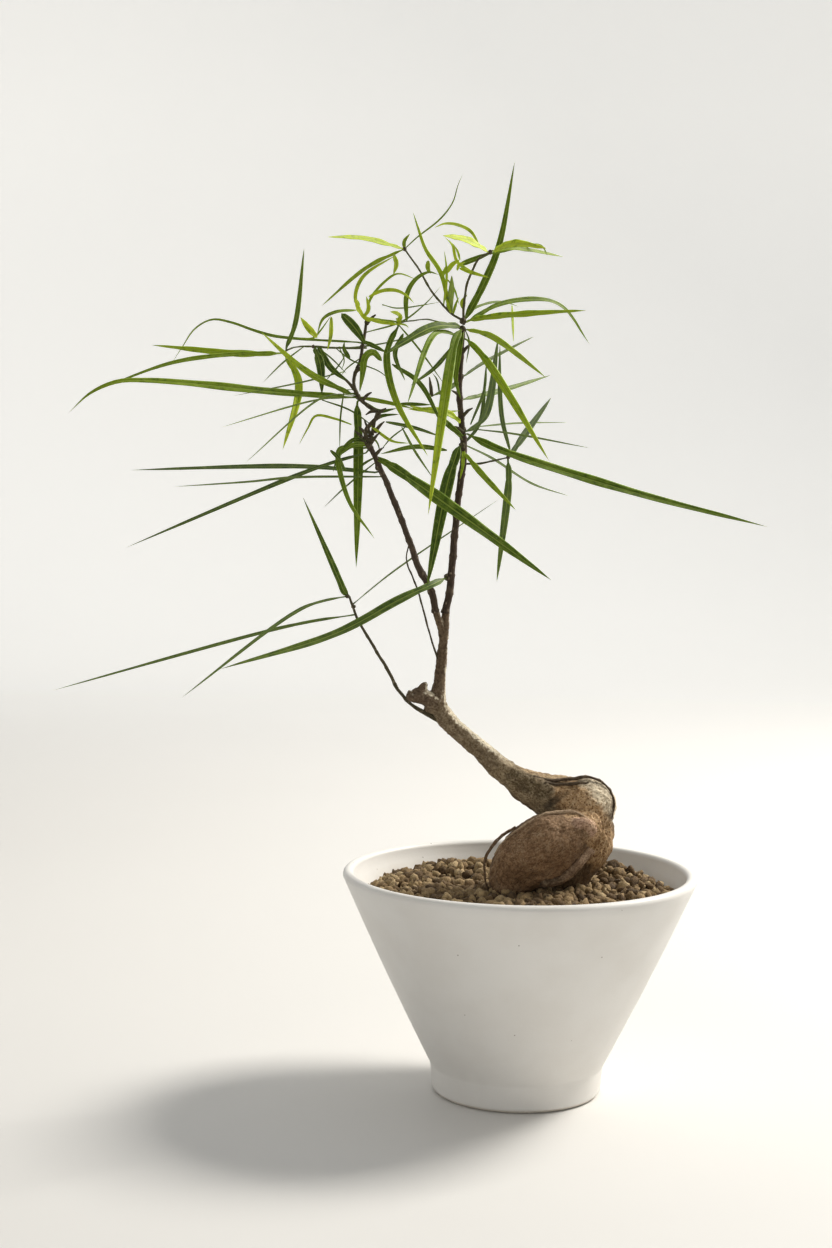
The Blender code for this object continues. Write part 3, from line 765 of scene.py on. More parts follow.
def granule_tree():
    """Scatters lumpy granules over a surface, and realises them as one mesh with a tone for each."""
    tree = bpy.data.node_groups.new("scatter_granules", "GeometryNodeTree")
    interface = (("Surface", "NodeSocketGeometry", None), ("Size", "NodeSocketFloat", GRANULE_SIZE),
                 ("Spacing", "NodeSocketFloat", GRANULE_SPACING),
                 ("Lumpiness", "NodeSocketFloat", GRANULE_LUMPS),
                 ("Seed", "NodeSocketInt", 1), ("Finish", "NodeSocketMaterial", None))
    for name, kind, value in interface:
        socket = tree.interface.new_socket(name=name, in_out="INPUT", socket_type=kind)
        if value is not None:
            socket.default_value = value
    tree.interface.new_socket(name="Granules", in_out="OUTPUT", socket_type="NodeSocketGeometry")
    graph = Graph(tree)
    given = graph.node("NodeGroupInput")
    position = graph.node("GeometryNodeInputPosition")
    kinds = graph.node("GeometryNodeJoinGeometry")
    for kind in range(5):
        ball = graph.node("GeometryNodeMeshUVSphere", Segments=9, Rings=7, Radius=0.5)
        moved = graph.node("ShaderNodeVectorMath", {"operation": "ADD"}, Vector=position,
                           Vector_001=(kind * 7.3, kind * 3.1, kind * 5.7))
        lump = graph.cloud(moved, 2.1, 2.0, 0.6) - 0.5
        # The lump height, stored to drive painted shade in each granule's hollows.
        lump_shade = graph.node("GeometryNodeStoreNamedAttribute", {"data_type": "FLOAT", "domain": "POINT"},
                           Geometry=ball.out("Mesh"), Name="lump_shade", Value=lump + 0.5)
        push = graph.node("ShaderNodeVectorMath", {"operation": "SCALE"}, Vector=position,
                          Scale=lump * given.out("Lumpiness") * 4)
        shaped = graph.node("GeometryNodeSetPosition", Geometry=lump_shade, Offset=push)
        graph.tree.links.new(graph.node("GeometryNodeGeometryToInstance", Geometry=shaped).socket,
                             kinds.node.inputs[0])
    scattered = graph.node("GeometryNodeDistributePointsOnFaces", {"distribute_method": "POISSON"},
                           Mesh=given.out("Surface"), Distance_Min=given.out("Spacing"),
                           Density_Max=400000.0, Seed=given.out("Seed"))
    seed = given.out("Seed")

    def chance(kind, low, high, offset):
        ends = {"FLOAT": ("Min_001", "Max_001", "Value_001"), "INT": ("Min_002", "Max_002", "Value_002"),
                "FLOAT_VECTOR": ("Min", "Max", "Value")}[kind]
        made = graph.node("FunctionNodeRandomValue", {"data_type": kind}, Seed=seed + offset,
                          **{ends[0]: low, ends[1]: high})
        return made.out(ends[2])

    scale = graph.node("ShaderNodeVectorMath", {"operation": "SCALE"},
                       Vector=chance("FLOAT_VECTOR", (0.55, 0.55, 0.5), (1.32, 1.32, 1.1), 5),
                       Scale=given.out("Size"))
    placed = graph.node("GeometryNodeInstanceOnPoints", Points=scattered.out("Points"), Instance=kinds,
                        Pick_Instance=True, Instance_Index=chance("INT", 0, 4, 3),
                        Rotation=chance("FLOAT_VECTOR", (0.0, 0.0, 0.0), (math.tau,) * 3, 7),
                        Scale=scale)
    toned = graph.node("GeometryNodeStoreNamedAttribute", {"data_type": "FLOAT", "domain": "INSTANCE"},
                       Geometry=placed, Name="tone", Value=chance("FLOAT", 0.0, 1.0, 11))
    realised = graph.node("GeometryNodeRealizeInstances", Geometry=toned)
    smooth = graph.node("GeometryNodeSetShadeSmooth", Geometry=realised)
    finished = graph.node("GeometryNodeSetMaterial", Geometry=smooth, Material=given.out("Finish"))
    graph.node("NodeGroupOutput", Granules=finished)
    return tree


def make_granules(finish):
    """Two grades of granules over the bed, scattered by geometry nodes, then frozen as plain meshes."""
    tree = granule_tree()
    reach = inner_wall(SOIL_LEVEL) - 2.3 * MM
    for name, size, spacing, sunk, seed in (("soil_granules", GRANULE_SIZE, GRANULE_SPACING, 0.0, 4),
                                            ("soil_crumbs", CRUMB_SIZE, CRUMB_SPACING, -0.2 * MM, 9)):
        points, rings = soil_disc(reach, 40, 96, sunk)
        ground = add_piece(f"{name}_ground", points, sheet(rings), finish)
        scatter = ground.modifiers.new("scatter", "NODES")
        scatter.node_group = tree
        wanted = {"Size": size, "Spacing": spacing * 1.0,
                  "Lumpiness": GRANULE_LUMPS, "Seed": seed, "Finish": finish}
        for socket in tree.interface.items_tree:
            if socket.in_out == "INPUT" and socket.name in wanted:
                scatter[socket.identifier] = wanted[socket.name]
        made = as_plain_mesh(ground, name)
        settle(made)


# ---------------------------------------------------------------- trunk

# The trunk's limbs as x, y, height and radius in millimetres, from inside their parent to their end.
LIMBS = {
    "above": ((-30.2, 0, 96, 1.7), (-30.9, 0, 88, 2.0), (-31.5, 0, 80, 2.35), (-32.2, 0, 72, 3.5),
              (-28, 1, 65, 3.5),
              (-19.5, 1, 57.5, 3.6), (-11, 2, 50, 4.2), (-3.5, 2, 44, 5.2), (5, 3, 39, 7.0),
              (14, 4, 35, 9.7), (22, 5, 31.5, 11.6)),
    "below": ((22, 5, 31.5, 11.6), (23, 5, 30, 10.2), (25.5, 5, 24, 10.8), (25, 4, 17.5, 10.3),
              (21, 3, 9.5, 8.8), (18, 2, 2, 7.7), (16, 2, -3, 5.8)),
    "lobe": ((27, -3, 27.5, 6.6), (19, -8, 24.5, 8.5), (10, -11, 21, 11.1), (1.5, -11, 16, 10.2),
             (-3.2, -10, 11, 8.3), (-5, -9, 5.5, 6.9), (-6, -8, 0, 5.4), (-6.5, -8, -3, 4.5)),
    "fork_left": ((-30.4, 0, 93, 1.2), (-31.4, -1, 100.5, 1.3), (-33.5, -2, 107.5, 1.4)),
    "fork_right": ((-30.2, 0, 93, 1.5), (-29.8, 0, 100.5, 1.6), (-29.5, 1, 107, 1.55)),
    "keel": ((23, -6.5, 20, 5.2), (15, -11, 15.6, 6.3), (8, -12, 11.4, 6.4), (2, -11, 8, 6.0),
             (-2, -9, 3, 5.0)),
    "knot": ((-31.5, 0, 71, 3.4), (-35.5, -2, 73.6, 3.1), (-39, -3, 75.2, 3.2), (-41.4, -3, 75.8, 2.3)),
    "knot_horn": ((-38.8, -3.4, 75.5, 2.4), (-37.8, -3.6, 78.2, 1.7), (-36.8, -3.4, 80, 0.9)),
    "knot_lobe": ((-39, -4, 75, 2.4), (-42, -5, 74.5, 1.7), (-43, -4, 76.5, 1.1)),
    "twig_socket": ((-31, -0.5, 69.5, 2.2), (-34.5, -2, 69.2, 1.3), (-37, -2.6, 70, 0.9)),
    "burl": ((19.5, -13.4, 29.4, 1.5), (21.5, -14, 29.4, 1.9), (24, -13.2, 28.5, 2.1),
             (26.8, -12, 26, 1.6)),
    "shoulder": ((-8, -1.5, 49, 1.6), (0, -2, 44.6, 2.4), (8, -2.4, 41, 2.6), (14, -2.5, 39, 2.2)),
}

# Rounded masses of the trunk: x, y, height and radius in millimetres.
BALLS = {"knee": (25, 4, 32.4, 11.9), "elbow": (4, 1.5, 39.5, 6.4), "heel": (-4, -9, 4, 7.5)}

# The fold where the upper trunk rests against the knee.
CREASE = ((5, -6, 32.5), (8.5, -5.5, 33), (11, -5.4, 35), (13.9, -5.6, 37.2), (17, -5, 39.5))

# Colours of the bark, each round a few places: reach in millimetres, strength, speckle, colour, places.
BARK_PATCHES = {
    "upper_stem": (26, 1.0, 0.15, (0.15, 0.10, 0.058), ((-31, 0, 94), (-31, 0, 80), (-33, -2, 106))),
    "leaning_stem": (13, 0.9, 0.45, (0.25, 0.19, 0.115), ((-27, -2, 64), (-19, -2, 57), (-11, -2, 50))),
    "shoulder": (8, 0.9, 0.6, (0.34, 0.265, 0.16), ((-5, -4, 45), (3, -5, 40), (7, -5, 36))),
    "lobe": (14, 1.0, 0.5, (0.285, 0.172, 0.090), ((6, -21, 22), (-2, -19, 14), (14, -18, 22))),
    "lobe_foot": (9, 0.8, 0.3, (0.22, 0.13, 0.065), ((-9, -16, 8), (-1, -19, 6))),
    "knee": (9, 1.0, 1.0, (0.54, 0.35, 0.18), ((20, -4, 38), (26, -9, 30), (31, -4, 20),
                                             (30, -8, 25), (33, -2, 16))),
    # A near-white painted highlight on the upper right of the knee.
    "knee_pale": (6, 0.9, 0.6, (0.92, 0.81, 0.61), ((27, 0, 41.5), (31, -2, 37.5), (34.5, 1, 33))),
    "knee_top": (5, 0.8, 0.8, (0.54, 0.39, 0.22), ((3.5, 2.2, 46.5), (10, 3, 45.5), (16, 4, 44.8))),
    "mossy": (4.0, 0.8, 0.8, (0.13, 0.095, 0.045),
              ((-2.4, -3.1, 44.2), (3.3, -3.4, 41.6), (9, -3.8, 39.8))),
    "burl": (3.0, 0.9, 0.6, (0.66, 0.44, 0.32), ((21, -14.4, 29.5), (24, -13.3, 28.6),
                                                 (26.4, -12.5, 26.2))),
    # Painted shade: a dark band along the fold between the upper trunk and the knee.
    "crease_painted_shade": (1.7, 0.9, 0.0, (0.04, 0.026, 0.014), CREASE),
    "knot": (5, 0.8, 0.4, (0.17, 0.12, 0.075), ((-40, -4, 75.5), (-36, -3, 74))),
}
# Pale tint painted on the leaning stem where it faces the light: a painted highlight.
PAINTED_HIGHLIGHT_TINT = (0.82, 0.75, 0.58)
TOWARDS_LIGHT = unit(np.array((0.72, 0.05, 0.66)))


def place_rows(sections, spacing=0.8 * MM):
    rows = [(*planted(*section[:3]), section[3] * MM) for section in sections]
    return smooth_rows(rows, int(length_of(rows) / spacing) + 3)


def ball_rows(x, y, height, radius):
    """A ball as tube rows, one above the other."""
    turns = np.radians(np.linspace(-84, 84, 17))
    return np.array([(*planted(x, y, height + radius * math.sin(turn)), radius * MM * math.cos(turn))
                     for turn in turns])


def reach_to(points, places):
    """For each point, the distance to the nearest of a few places given in planted millimetres."""
    fine = np.array([planted(*place[:3]) for place in places])
    if len(fine) > 1:
        fine = smooth_rows(fine, 8 * len(fine))
    return np.min(np.linalg.norm(points[:, None] - fine[None], axis=2), axis=1)


def limb_frames(name):
    """Places, radii, distances along and a steady pair of side vectors for a limb."""
    rows = place_rows(LIMBS[name], 1.5 * MM)
    centres = rows[:, :3]
    return centres, rows[:, 3], distances_along(centres), *side_vectors(directions_of(centres))


def bark_fibres(points):
    """For each point, (side, side, along) in millimetres round the limb that it is nearest to."""
    frames = [limb_frames(name) for name in LIMBS]
    centres, radii, along, first, second = (np.concatenate(parts) for parts in zip(*frames))
    found = np.zeros((len(points), 3))
    for start in range(0, len(points), 4000):
        some = points[start:start + 4000]
        gaps = np.linalg.norm(some[:, None] - centres[None], axis=2) - radii[None]
        nearest = np.argmin(gaps, axis=1)
        out = some - centres[nearest]
        lengthwise = along[nearest] + np.sum(out * np.cross(first, second)[nearest], axis=1)
        found[start:start + 4000] = np.stack([np.sum(out * first[nearest], axis=1),
                                              np.sum(out * second[nearest], axis=1),
                                              lengthwise], axis=1)
    return found / MM


def noise_at(points, size, seed):
    shift = Vector((seed * 3.7, seed * 1.3, seed * 2.1))
    return np.array([noise.noise(Vector(point) / size + shift) for point in points])


def lay_bark(mesh, color, speckle, fibres):
    """Stores what old_bark reads; speckle is one number, or one for each point."""
    lay_on(mesh, "ground", "FLOAT_COLOR", np.column_stack([color, np.ones(len(color))]))
    lay_on(mesh, "speckle", "FLOAT", np.broadcast_to(speckle, len(color)))
    lay_on(mesh, "fibre", "FLOAT_VECTOR", fibres)


def bark_colors(points, normals):
    """The bark's ground colour, with painted highlights and painted shade, and its speckle at each point.
    """
    color = np.tile(np.array((0.135, 0.085, 0.043)), (len(points), 1))
    speckle = np.full(len(points), 0.15)
    ragged = noise_at(points, 3.5 * MM, 21) + 0.6 * noise_at(points, 1.6 * MM, 22)
    for reach, strength, spots, tint, places in BARK_PATCHES.values():
        gap = reach_to(points, places) / (reach * MM) + ragged * 0.22
        share = strength * (1 - smoothstep(gap, 0.55, 1.15))
        color += (np.array(tint) - color) * share[:, None]
        speckle += (spots - speckle) * share
    height = (points[:, 2] - ROOT_LEVEL) / MM
    facing = normals @ TOWARDS_LIGHT + ragged * 0.12 + noise_at(points, 1.0 * MM, 23) * 0.35
    lean = smoothstep(height, 47, 56) * (1 - smoothstep(height, 76, 100) * 0.75)
    # Painted highlight: the leaning stem is made pale where it faces the light.
    painted_highlight = smoothstep(facing, 0.52, 0.72) * lean * 0.9
    color += (np.array(PAINTED_HIGHLIGHT_TINT) - color) * painted_highlight[:, None]
    # The bark is made darker towards the soil.
    low_darkening = 1 - smoothstep(height, -1, 5)
    return color * (1 - 0.45 * low_darkening)[:, None], speckle


def make_trunk(finish):
    solids = Gathered()
    limbs = [place_rows(sections) for sections in LIMBS.values()]
    for rows in limbs + [ball_rows(*ball) for ball in BALLS.values()]:
        solids.add(*tube(rows, 24))
    rough = add_piece("trunk_rough", solids.points, solids.faces, finish)
    skin = rough.modifiers.new("one skin", "REMESH")
    skin.mode = "VOXEL"
    skin.voxel_size = BARK_VOXEL * 1.0
    even = rough.modifiers.new("even", "SMOOTH")
    even.factor = 0.5
    even.iterations = 4
    trunk = as_plain_mesh(rough, "trunk_bark")
    mesh = trunk.data
    points = np.array([vert.co[:] for vert in mesh.vertices])
    normals = np.array([normal.vector[:] for normal in mesh.vertex_normals])
    fibres = bark_fibres(points)
    height = (points[:, 2] - ROOT_LEVEL) / MM
    stout = 1 - smoothstep(height, 46, 62) * 0.72
    lengthwise = fibres * np.array((1.0, 1.0, 0.14))
    push = 0.6 * noise_at(points, 7.5 * MM, 1) * stout
    push += 0.42 * noise_at(points, 3.2 * MM, 2) * (0.4 + 0.6 * stout)
    push += 0.22 * noise_at(lengthwise, 1.9, 3) * (0.45 + 0.55 * stout)
    push += 0.26 * noise_at(points, 1.4 * MM, 4) * (0.6 + 0.4 * stout)
    push += 0.16 * noise_at(points, 0.8 * MM, 5)
    push -= 1.0 * np.exp(-(reach_to(points, CREASE) / (1.1 * MM)) ** 2)
    points += normals * (push * MM)[:, None]
    mesh.vertices.foreach_set("co", points.astype(np.float32).ravel())
    mesh.update()
    mesh.shade_smooth()
    lay_bark(mesh, *bark_colors(points, normals), fibres)
    mesh.materials.clear()
    mesh.materials.append(finish)
    settle(trunk, ("trunk_and_root",))
    return BVHTree.FromPolygons([Vector(point) for point in points],
                                [face.vertices[:] for face in mesh.polygons])


# Loose roots: the strands of each as (shift, radius share), and the colour from start to end.
ROOT_STRANDS = {
    "root_over_knee": (((0, 0), 1.0),),
    "root_arc_left": (((-0.45, 0.3), 0.62), ((0.5, -0.25), 0.55)),
    "root_under_lobe": (((0, 0), 1.0),),
}
ROOT_COLORS = {
    "root_over_knee": ((0.13, 0.09, 0.055), (0.085, 0.055, 0.03)),
    "root_arc_left": ((0.26, 0.17, 0.10), (0.16, 0.10, 0.05)),
    "root_under_lobe": ((0.36, 0.24, 0.15), (0.12, 0.08, 0.045)),
}

# Where the root over the knee is seen to lie, with its radius, in millimetres.
OVER_KNEE = ((4, -2.5, 43.5, 0.5), (8.5, -2.5, 43.6, 0.55), (14, -2, 44.4, 0.6), (19.5, -1, 45, 0.65),
             (25, -0.5, 44.6, 0.65), (29, -0.5, 43.4, 0.5), (32.4, -1, 41, 0.45),
             (34.8, -1.5, 37.8, 0.45),
             (36.4, -2.5, 34.3, 0.42), (36.8, -3.5, 31, 0.36), (36.6, -4, 28.5, 0.3))

# Fine ridges and hair roots on the trunk, and a painted shadow line below the root over the knee: colour,
# then places with a radius, in millimetres.
SURFACE_LINES = (
    ((0.52, 0.38, 0.25), ((-10.5, -11, 16.2, 0.3), (-7.4, -13, 20.9, 0.4), (-4.2, -14, 24, 0.45),
                          (0.3, -14.5, 27.4, 0.5), (6.4, -13.4, 30.8, 0.6), (11.9, -11.4, 32.8, 0.75),
                          (17.3, -10.4, 33.2, 0.75), (21, -10.6, 32.3, 0.6), (25, -11.6, 30, 0.35))),
    # A dark painted shadow line just below the root that lies over the knee.
    ((0.10, 0.07, 0.04), ((9, -4, 42.4, 0.35), (14.6, -3.4, 43.2, 0.5), (18.5, -3, 43.2, 0.6),
                          (22.5, -2.4, 42.6, 0.5), (25.7, -1.5, 41.8, 0.3))),
    ((0.27, 0.17, 0.09), ((-1.5, -20, 21, 0.2), (-1.2, -21, 16, 0.22), (2.5, -22, 12, 0.22),
                          (9, -20, 9, 0.18))),
)

# How each lies on the trunk: its clearance in millimetres at its middle, and a thickening.
ROOT_LIE = {"root_over_knee": (0.35, 1.0), "root_arc_left": (1.9, 1.0), "root_under_lobe": (-0.3, 1.3)}


def shifted(rows, shift, share):
    """A strand that runs beside the rows, shifted by parts of their radius and slowly twisting."""
    directions = directions_of(rows[:, :3])
    first = unit(np.cross(directions, (0.1, 0.95, 0.25)))
    second = np.cross(directions, first)
    turn = np.linspace(0, 2.2, len(rows))[:, None]
    out = first * (shift[0] * np.cos(turn) - shift[1] * np.sin(turn))
    out = out + second * (shift[0] * np.sin(turn) + shift[1] * np.cos(turn))
    made = rows.copy()
    made[:, :3] += out * rows[:, 3:4]
    made[:, 3] *= share
    return made


def laid_on(rows, trunk, clearance):
    """The rows drawn in until they lie on the trunk, standing clear of it only in their middle."""
    drawn = rows.copy()
    arch = np.sin(np.linspace(0, math.pi, len(rows)))
    for row, rise in zip(drawn, arch):
        place, normal, _, gap = trunk.find_nearest(Vector(row[:3]))
        outward = (Vector(row[:3]) - place).normalized() if gap > 0.2 * MM else normal
        row[:3] = place + outward * (row[3] * (0.25 + 0.75 * rise) + clearance * rise)
    for _ in range(6):
        drawn[1:-1, :3] = (drawn[:-2, :3] + drawn[1:-1, :3] * 2 + drawn[2:, :3]) / 4
    return drawn


def join_strands(strands, sides):
    joined = Gathered()
    for number, rows in enumerate(strands):
        joined.add(*tube(rows, sides, 0.14 * MM, number))
    return joined


def make_surface_lines(finish, trunk):
    strands = [laid_on(place_rows(places, 0.6 * MM), trunk, -0.12 * MM) for _, places in SURFACE_LINES]
    joined = join_strands(strands, 10)
    color = np.repeat([line[0] for line in SURFACE_LINES], joined.counts, axis=0)
    piece = add_piece("trunk_ridges", joined.points, joined.faces, finish, "old_bark")
    lay_bark(piece.data, color, 0.3, joined.laid)


def make_loose_root(name, finish, trunk):
    rows = place_rows(OVER_KNEE) if name == "root_over_knee" else smooth_rows(stem_rows(name), 90)
    clearance, thicker = ROOT_LIE[name]
    rows[:, 3] *= thicker
    rows = laid_on(rows, trunk, clearance * MM)
    rows[:, 3] *= 1 + noise_at(rows[:, :3], 4 * MM, 6) * 0.25
    rows[-6:, 3] *= np.linspace(1, 0.5, 6)
    joined = join_strands([shifted(rows, shift, share) for shift, share in ROOT_STRANDS[name]], 14)
    piece = add_piece(f"{name}_bark", joined.points, joined.faces, finish, "old_bark", (name,))
    start, end = (np.array(color) for color in ROOT_COLORS[name])
    along = np.array([fibre[2] for fibre in joined.laid])
    share = smoothstep(along / along.max(), 0.2, 0.9)
    lay_bark(piece.data, start + (end - start) * share[:, None], 0.4, joined.laid)


# ---------------------------------------------------------------- branches

STEMS = ("branch_left", "branch_right", "twig_low", "thin_shoot", "twig_upper_left", "twig_far_left",
         "twig_top_left", "twig_top_right", "twig_thin_left", "twig_side")
NODE_SPACING = 7.5 * MM
INTO_PARENT = 2.6 * MM

# The finer, greener twigs: a share of the CAD stem's radius, and how green the bark is.
TWIG_LOOKS = {"twig_far_left": (0.62, 0.8), "twig_top_left": (0.66, 0.35), "twig_top_right": (0.72, 0.3),
              "twig_thin_left": (0.62, 0.8), "twig_side": (0.7, 0.3), "twig_low": (0.85, 0.15),
              "thin_shoot": (0.85, 0.1), "twig_upper_left": (0.95, 0.15)}

# Swollen knobs where leaves and twigs stand in a whorl: place and radius, in millimetres.
KNOBS = ((-24.5, 8, 217, 1.35), (-24.6, 6.5, 214, 1.25), (-47, 2, 243, 0.85), (-14.5, 8, 243, 0.95),
         (-63.6, -3.6, 187.4, 1.2), (-59, -14, 168.8, 1.35), (-58.6, -13.8, 171, 1.1),
         (-24, 5.4, 170, 1.45),
         (-24.1, 6, 176, 1.35), (-92.5, 10, 204.4, 0.8), (-7, -2, 165.5, 0.75), (-23.6, 5, 163.4, 1.35),
         (-48.4, 0, 215.5, 0.7), (-66.5, -12, 113, 0.8), (-62.4, 3, 206.6, 1.0), (-61, 4, 216, 0.8),
         (-81, 6, 206.5, 0.75), (-29, 1, 120, 1.5), (-25, 6.6, 196, 1.3), (-25.2, 6.3, 188, 1.3),
         (-55.6, -13.4, 161, 1.25), (-64.2, -11, 109, 0.8))

# Short dark pointed stubs where leaves and shoots have been: root place, then tip place.
STUBS = (
    ((-59, -14, 168), (-62.5, -15.5, 171.5)), ((-59.5, -13.5, 172), (-63, -13, 176)),
    ((-56.5, -10.5, 180), (-53, -11.5, 183)), ((-57, -9, 182), (-60.5, -10, 180.5)),
    ((-62, -5, 186), (-58.5, -6.5, 189)), ((-65, -3, 190), (-68.5, -4, 193.5)),
    ((-64.5, -1, 197), (-60.5, -2.5, 199)), ((-62, 3, 209), (-66, 2, 213)),
    ((-61, 4, 215), (-57.5, 3, 218.5)),
    ((-57, -14, 165), (-53.5, -15.5, 168.5)), ((-58, -13, 171), (-61, -12, 178.5)),
    ((-58, -12, 173), (-56.5, -13, 181.5)), ((-57, -12, 174), (-53.5, -13.5, 178)),
    ((-59, -13, 169), (-55, -15, 174)), ((-60, -13, 170), (-64.5, -12.5, 174.5)),
    ((-36, -3, 188), (-37, -3.5, 195)), ((-25, 6, 188), (-28.5, 3, 190.5)),
    ((-24.5, 7, 205), (-21.5, 4, 208)),
    ((-24, 5, 175), (-28, 3, 177)), ((-24, 6, 181), (-20.5, 3, 184)),
)

# Places past the CAD stem's end that a finished twig runs on to, with a radius, in millimetres.
RUNS_ON = {"thin_shoot": ((-44.6, -7.4, 128.5, 0.3), (-43.6, -6.8, 134, 0.25))}

# Twigs that flare where they leave the trunk: the radius there, in millimetres.
FLARED = {"twig_low": 0.9}


def add_twig_bark(name, points, faces, fibres, green, finish, replaced=()):
    piece = add_piece(name, points, faces, finish, "young_bark", replaced)
    lay_on(piece.data, "fibre", "FLOAT_VECTOR", fibres)
    lay_on(piece.data, "green", "FLOAT", np.full(len(points), green))


def make_stem(name, finish):
    """Makes one stem, and returns the places along its middle."""
    rows = np.array(stem_rows(name))
    start = rows[0].copy()
    start[:3] -= directions_of(rows[:, :3])[0] * INTO_PARENT
    end = rows[-1].copy()
    end[:3] += directions_of(rows[:, :3])[-1] * 1.4 * MM
    further = [(*planted(*place[:3]), place[3] * MM) for place in RUNS_ON.get(name, ())]
    rows = smooth_rows(np.vstack([start, rows, further or end]), int(length_of(rows) / STEM_STEP) + 6)
    share, green = TWIG_LOOKS.get(name, (1.0, 0.0))
    rows[:, 3] *= share
    along = distances_along(rows[:, :3])
    beat = (along + 2 * MM * noise_at(rows[:, :3], 30 * MM, 7)) / NODE_SPACING
    swelling = np.exp(-((beat - np.round(beat)) * NODE_SPACING / (0.75 * MM)) ** 2)
    rows[:, 3] *= 1 + 0.20 * swelling + 0.10 * noise_at(rows[:, :3], 5 * MM, 8)
    if name in FLARED:
        flare = FLARED[name] * MM * (1 - smoothstep(along / along[-1], 0.08, 0.42))
        rows[:, 3] = np.maximum(rows[:, 3], flare)
    kink = np.column_stack([noise_at(rows[:, :3], 6 * MM, seed) for seed in (9, 10, 11)])
    rows[:, :3] += kink * 0.35 * MM
    add_twig_bark(f"{name}_bark", *tube(rows, STEM_SIDES, 0.10 * MM, 3), green, finish, (name,))
    return rows[:, :3]


def make_stubs(finish):
    """The pointed stubs and the knobs of the whorls, as one piece."""
    joined = Gathered()
    for number, knob in enumerate(KNOBS):
        joined.add(*tube(ball_rows(*knob)[::2], 10, 0.35 * MM, number + 40))
    for number, (root, tip) in enumerate(STUBS):
        ends = np.array([planted(*root), planted(*tip)])
        bend = (ends[0] + ends[1]) / 2 + np.array((0, 0, 0.4 * MM))
        rows = [(*ends[0], 0.75 * MM), (*bend, 0.6 * MM), (*ends[1], 0.22 * MM)]
        joined.add(*tube(smooth_rows(rows, 9), 9, 0.12 * MM, number))
    add_twig_bark("bud_stubs", joined.points, joined.faces, joined.laid, 0.15, finish)


# ---------------------------------------------------------------- leaves

# How each leaf looks: its youth at the base and at the tip, 0 for dark green and 1 for yellow-green,
# and its bloom.
LEAF_LOOKS = {
    "leaf_left_long": (0.45, 0.6, 0), "leaf_left_vertical": (0.3, 0.45, 0),
    "leaf_left_yellow_back": (0.35, 0.95, 0),
    "leaf_left_low_arch": (0.35, 0.5, 0), "leaf_left_low_fine": (0.3, 0.3, 0),
    "leaf_far_left_up": (0.65, 0.75, 0),
    "leaf_far_left_down": (0.55, 0.5, 0), "leaf_far_left_arch": (0.35, 0.6, 0),
    "leaf_far_left_upright": (0.4, 0.45, 0.1), "leaf_far_left_hanging": (0.7, 1, 0),
    "leaf_left_dark_hanging": (0.25, 0.1, 0), "leaf_tip_left_level": (0.85, 0.9, 0),
    "leaf_tip_left_droop": (0.7, 0.65, 0), "leaf_crown_top": (0.35, 0.45, 0),
    "leaf_crown_right_level": (0.7, 0.75, 0), "leaf_crown_right_arch": (0.45, 0.4, 0),
    "leaf_crown_right_down": (0.75, 0.7, 0), "leaf_crown_right_steep": (0.55, 0.85, 0),
    "leaf_leader_back_fine": (0.15, 0.15, 0), "leaf_leader_back_level": (0.3, 0.3, 0),
    "leaf_side_grey_up": (0.25, 0.25, 0.7), "leaf_side_hanging": (0.3, 0.4, 0.3),
    "leaf_crown_left_arch": (0.5, 0.5, 0), "leaf_crown_left_down": (0.3, 0.25, 0),
    "leaf_crown_left_fold": (0.25, 0.9, 0), "leaf_crown_front_bright": (0.35, 1, 0),
    "leaf_leader_left_pale": (0.85, 0.9, 0), "leaf_leader_broad_dark": (0.2, 0.25, 0),
    "leaf_leader_right_long": (0.4, 0.35, 0), "leaf_leader_grey_up": (0.3, 0.3, 0.6),
    "leaf_leader_olive_down": (0.6, 0.65, 0), "leaf_leader_left_sweep": (0.25, 0.35, 0.15),
    "leaf_left_big_diagonal": (0.3, 0.35, 0), "leaf_left_level": (0.25, 0.25, 0.4),
    "leaf_left_slanting": (0.25, 0.25, 0.25), "leaf_left_hooked": (0.3, 0.6, 0),
    "leaf_low_long_fine": (0.2, 0.2, 0.2), "leaf_low_upright": (0.2, 0.25, 0),
    "leaf_low_left_mid": (0.3, 0.3, 0.3),
    "leaf_low_left_long": (0.35, 0.35, 0.3), "leaf_top_yellow_left": (0.95, 0.95, 0),
    "leaf_top_yellow_right": (1, 1, 0), "leaf_top_fine_right": (0.6, 0.6, 0),
}

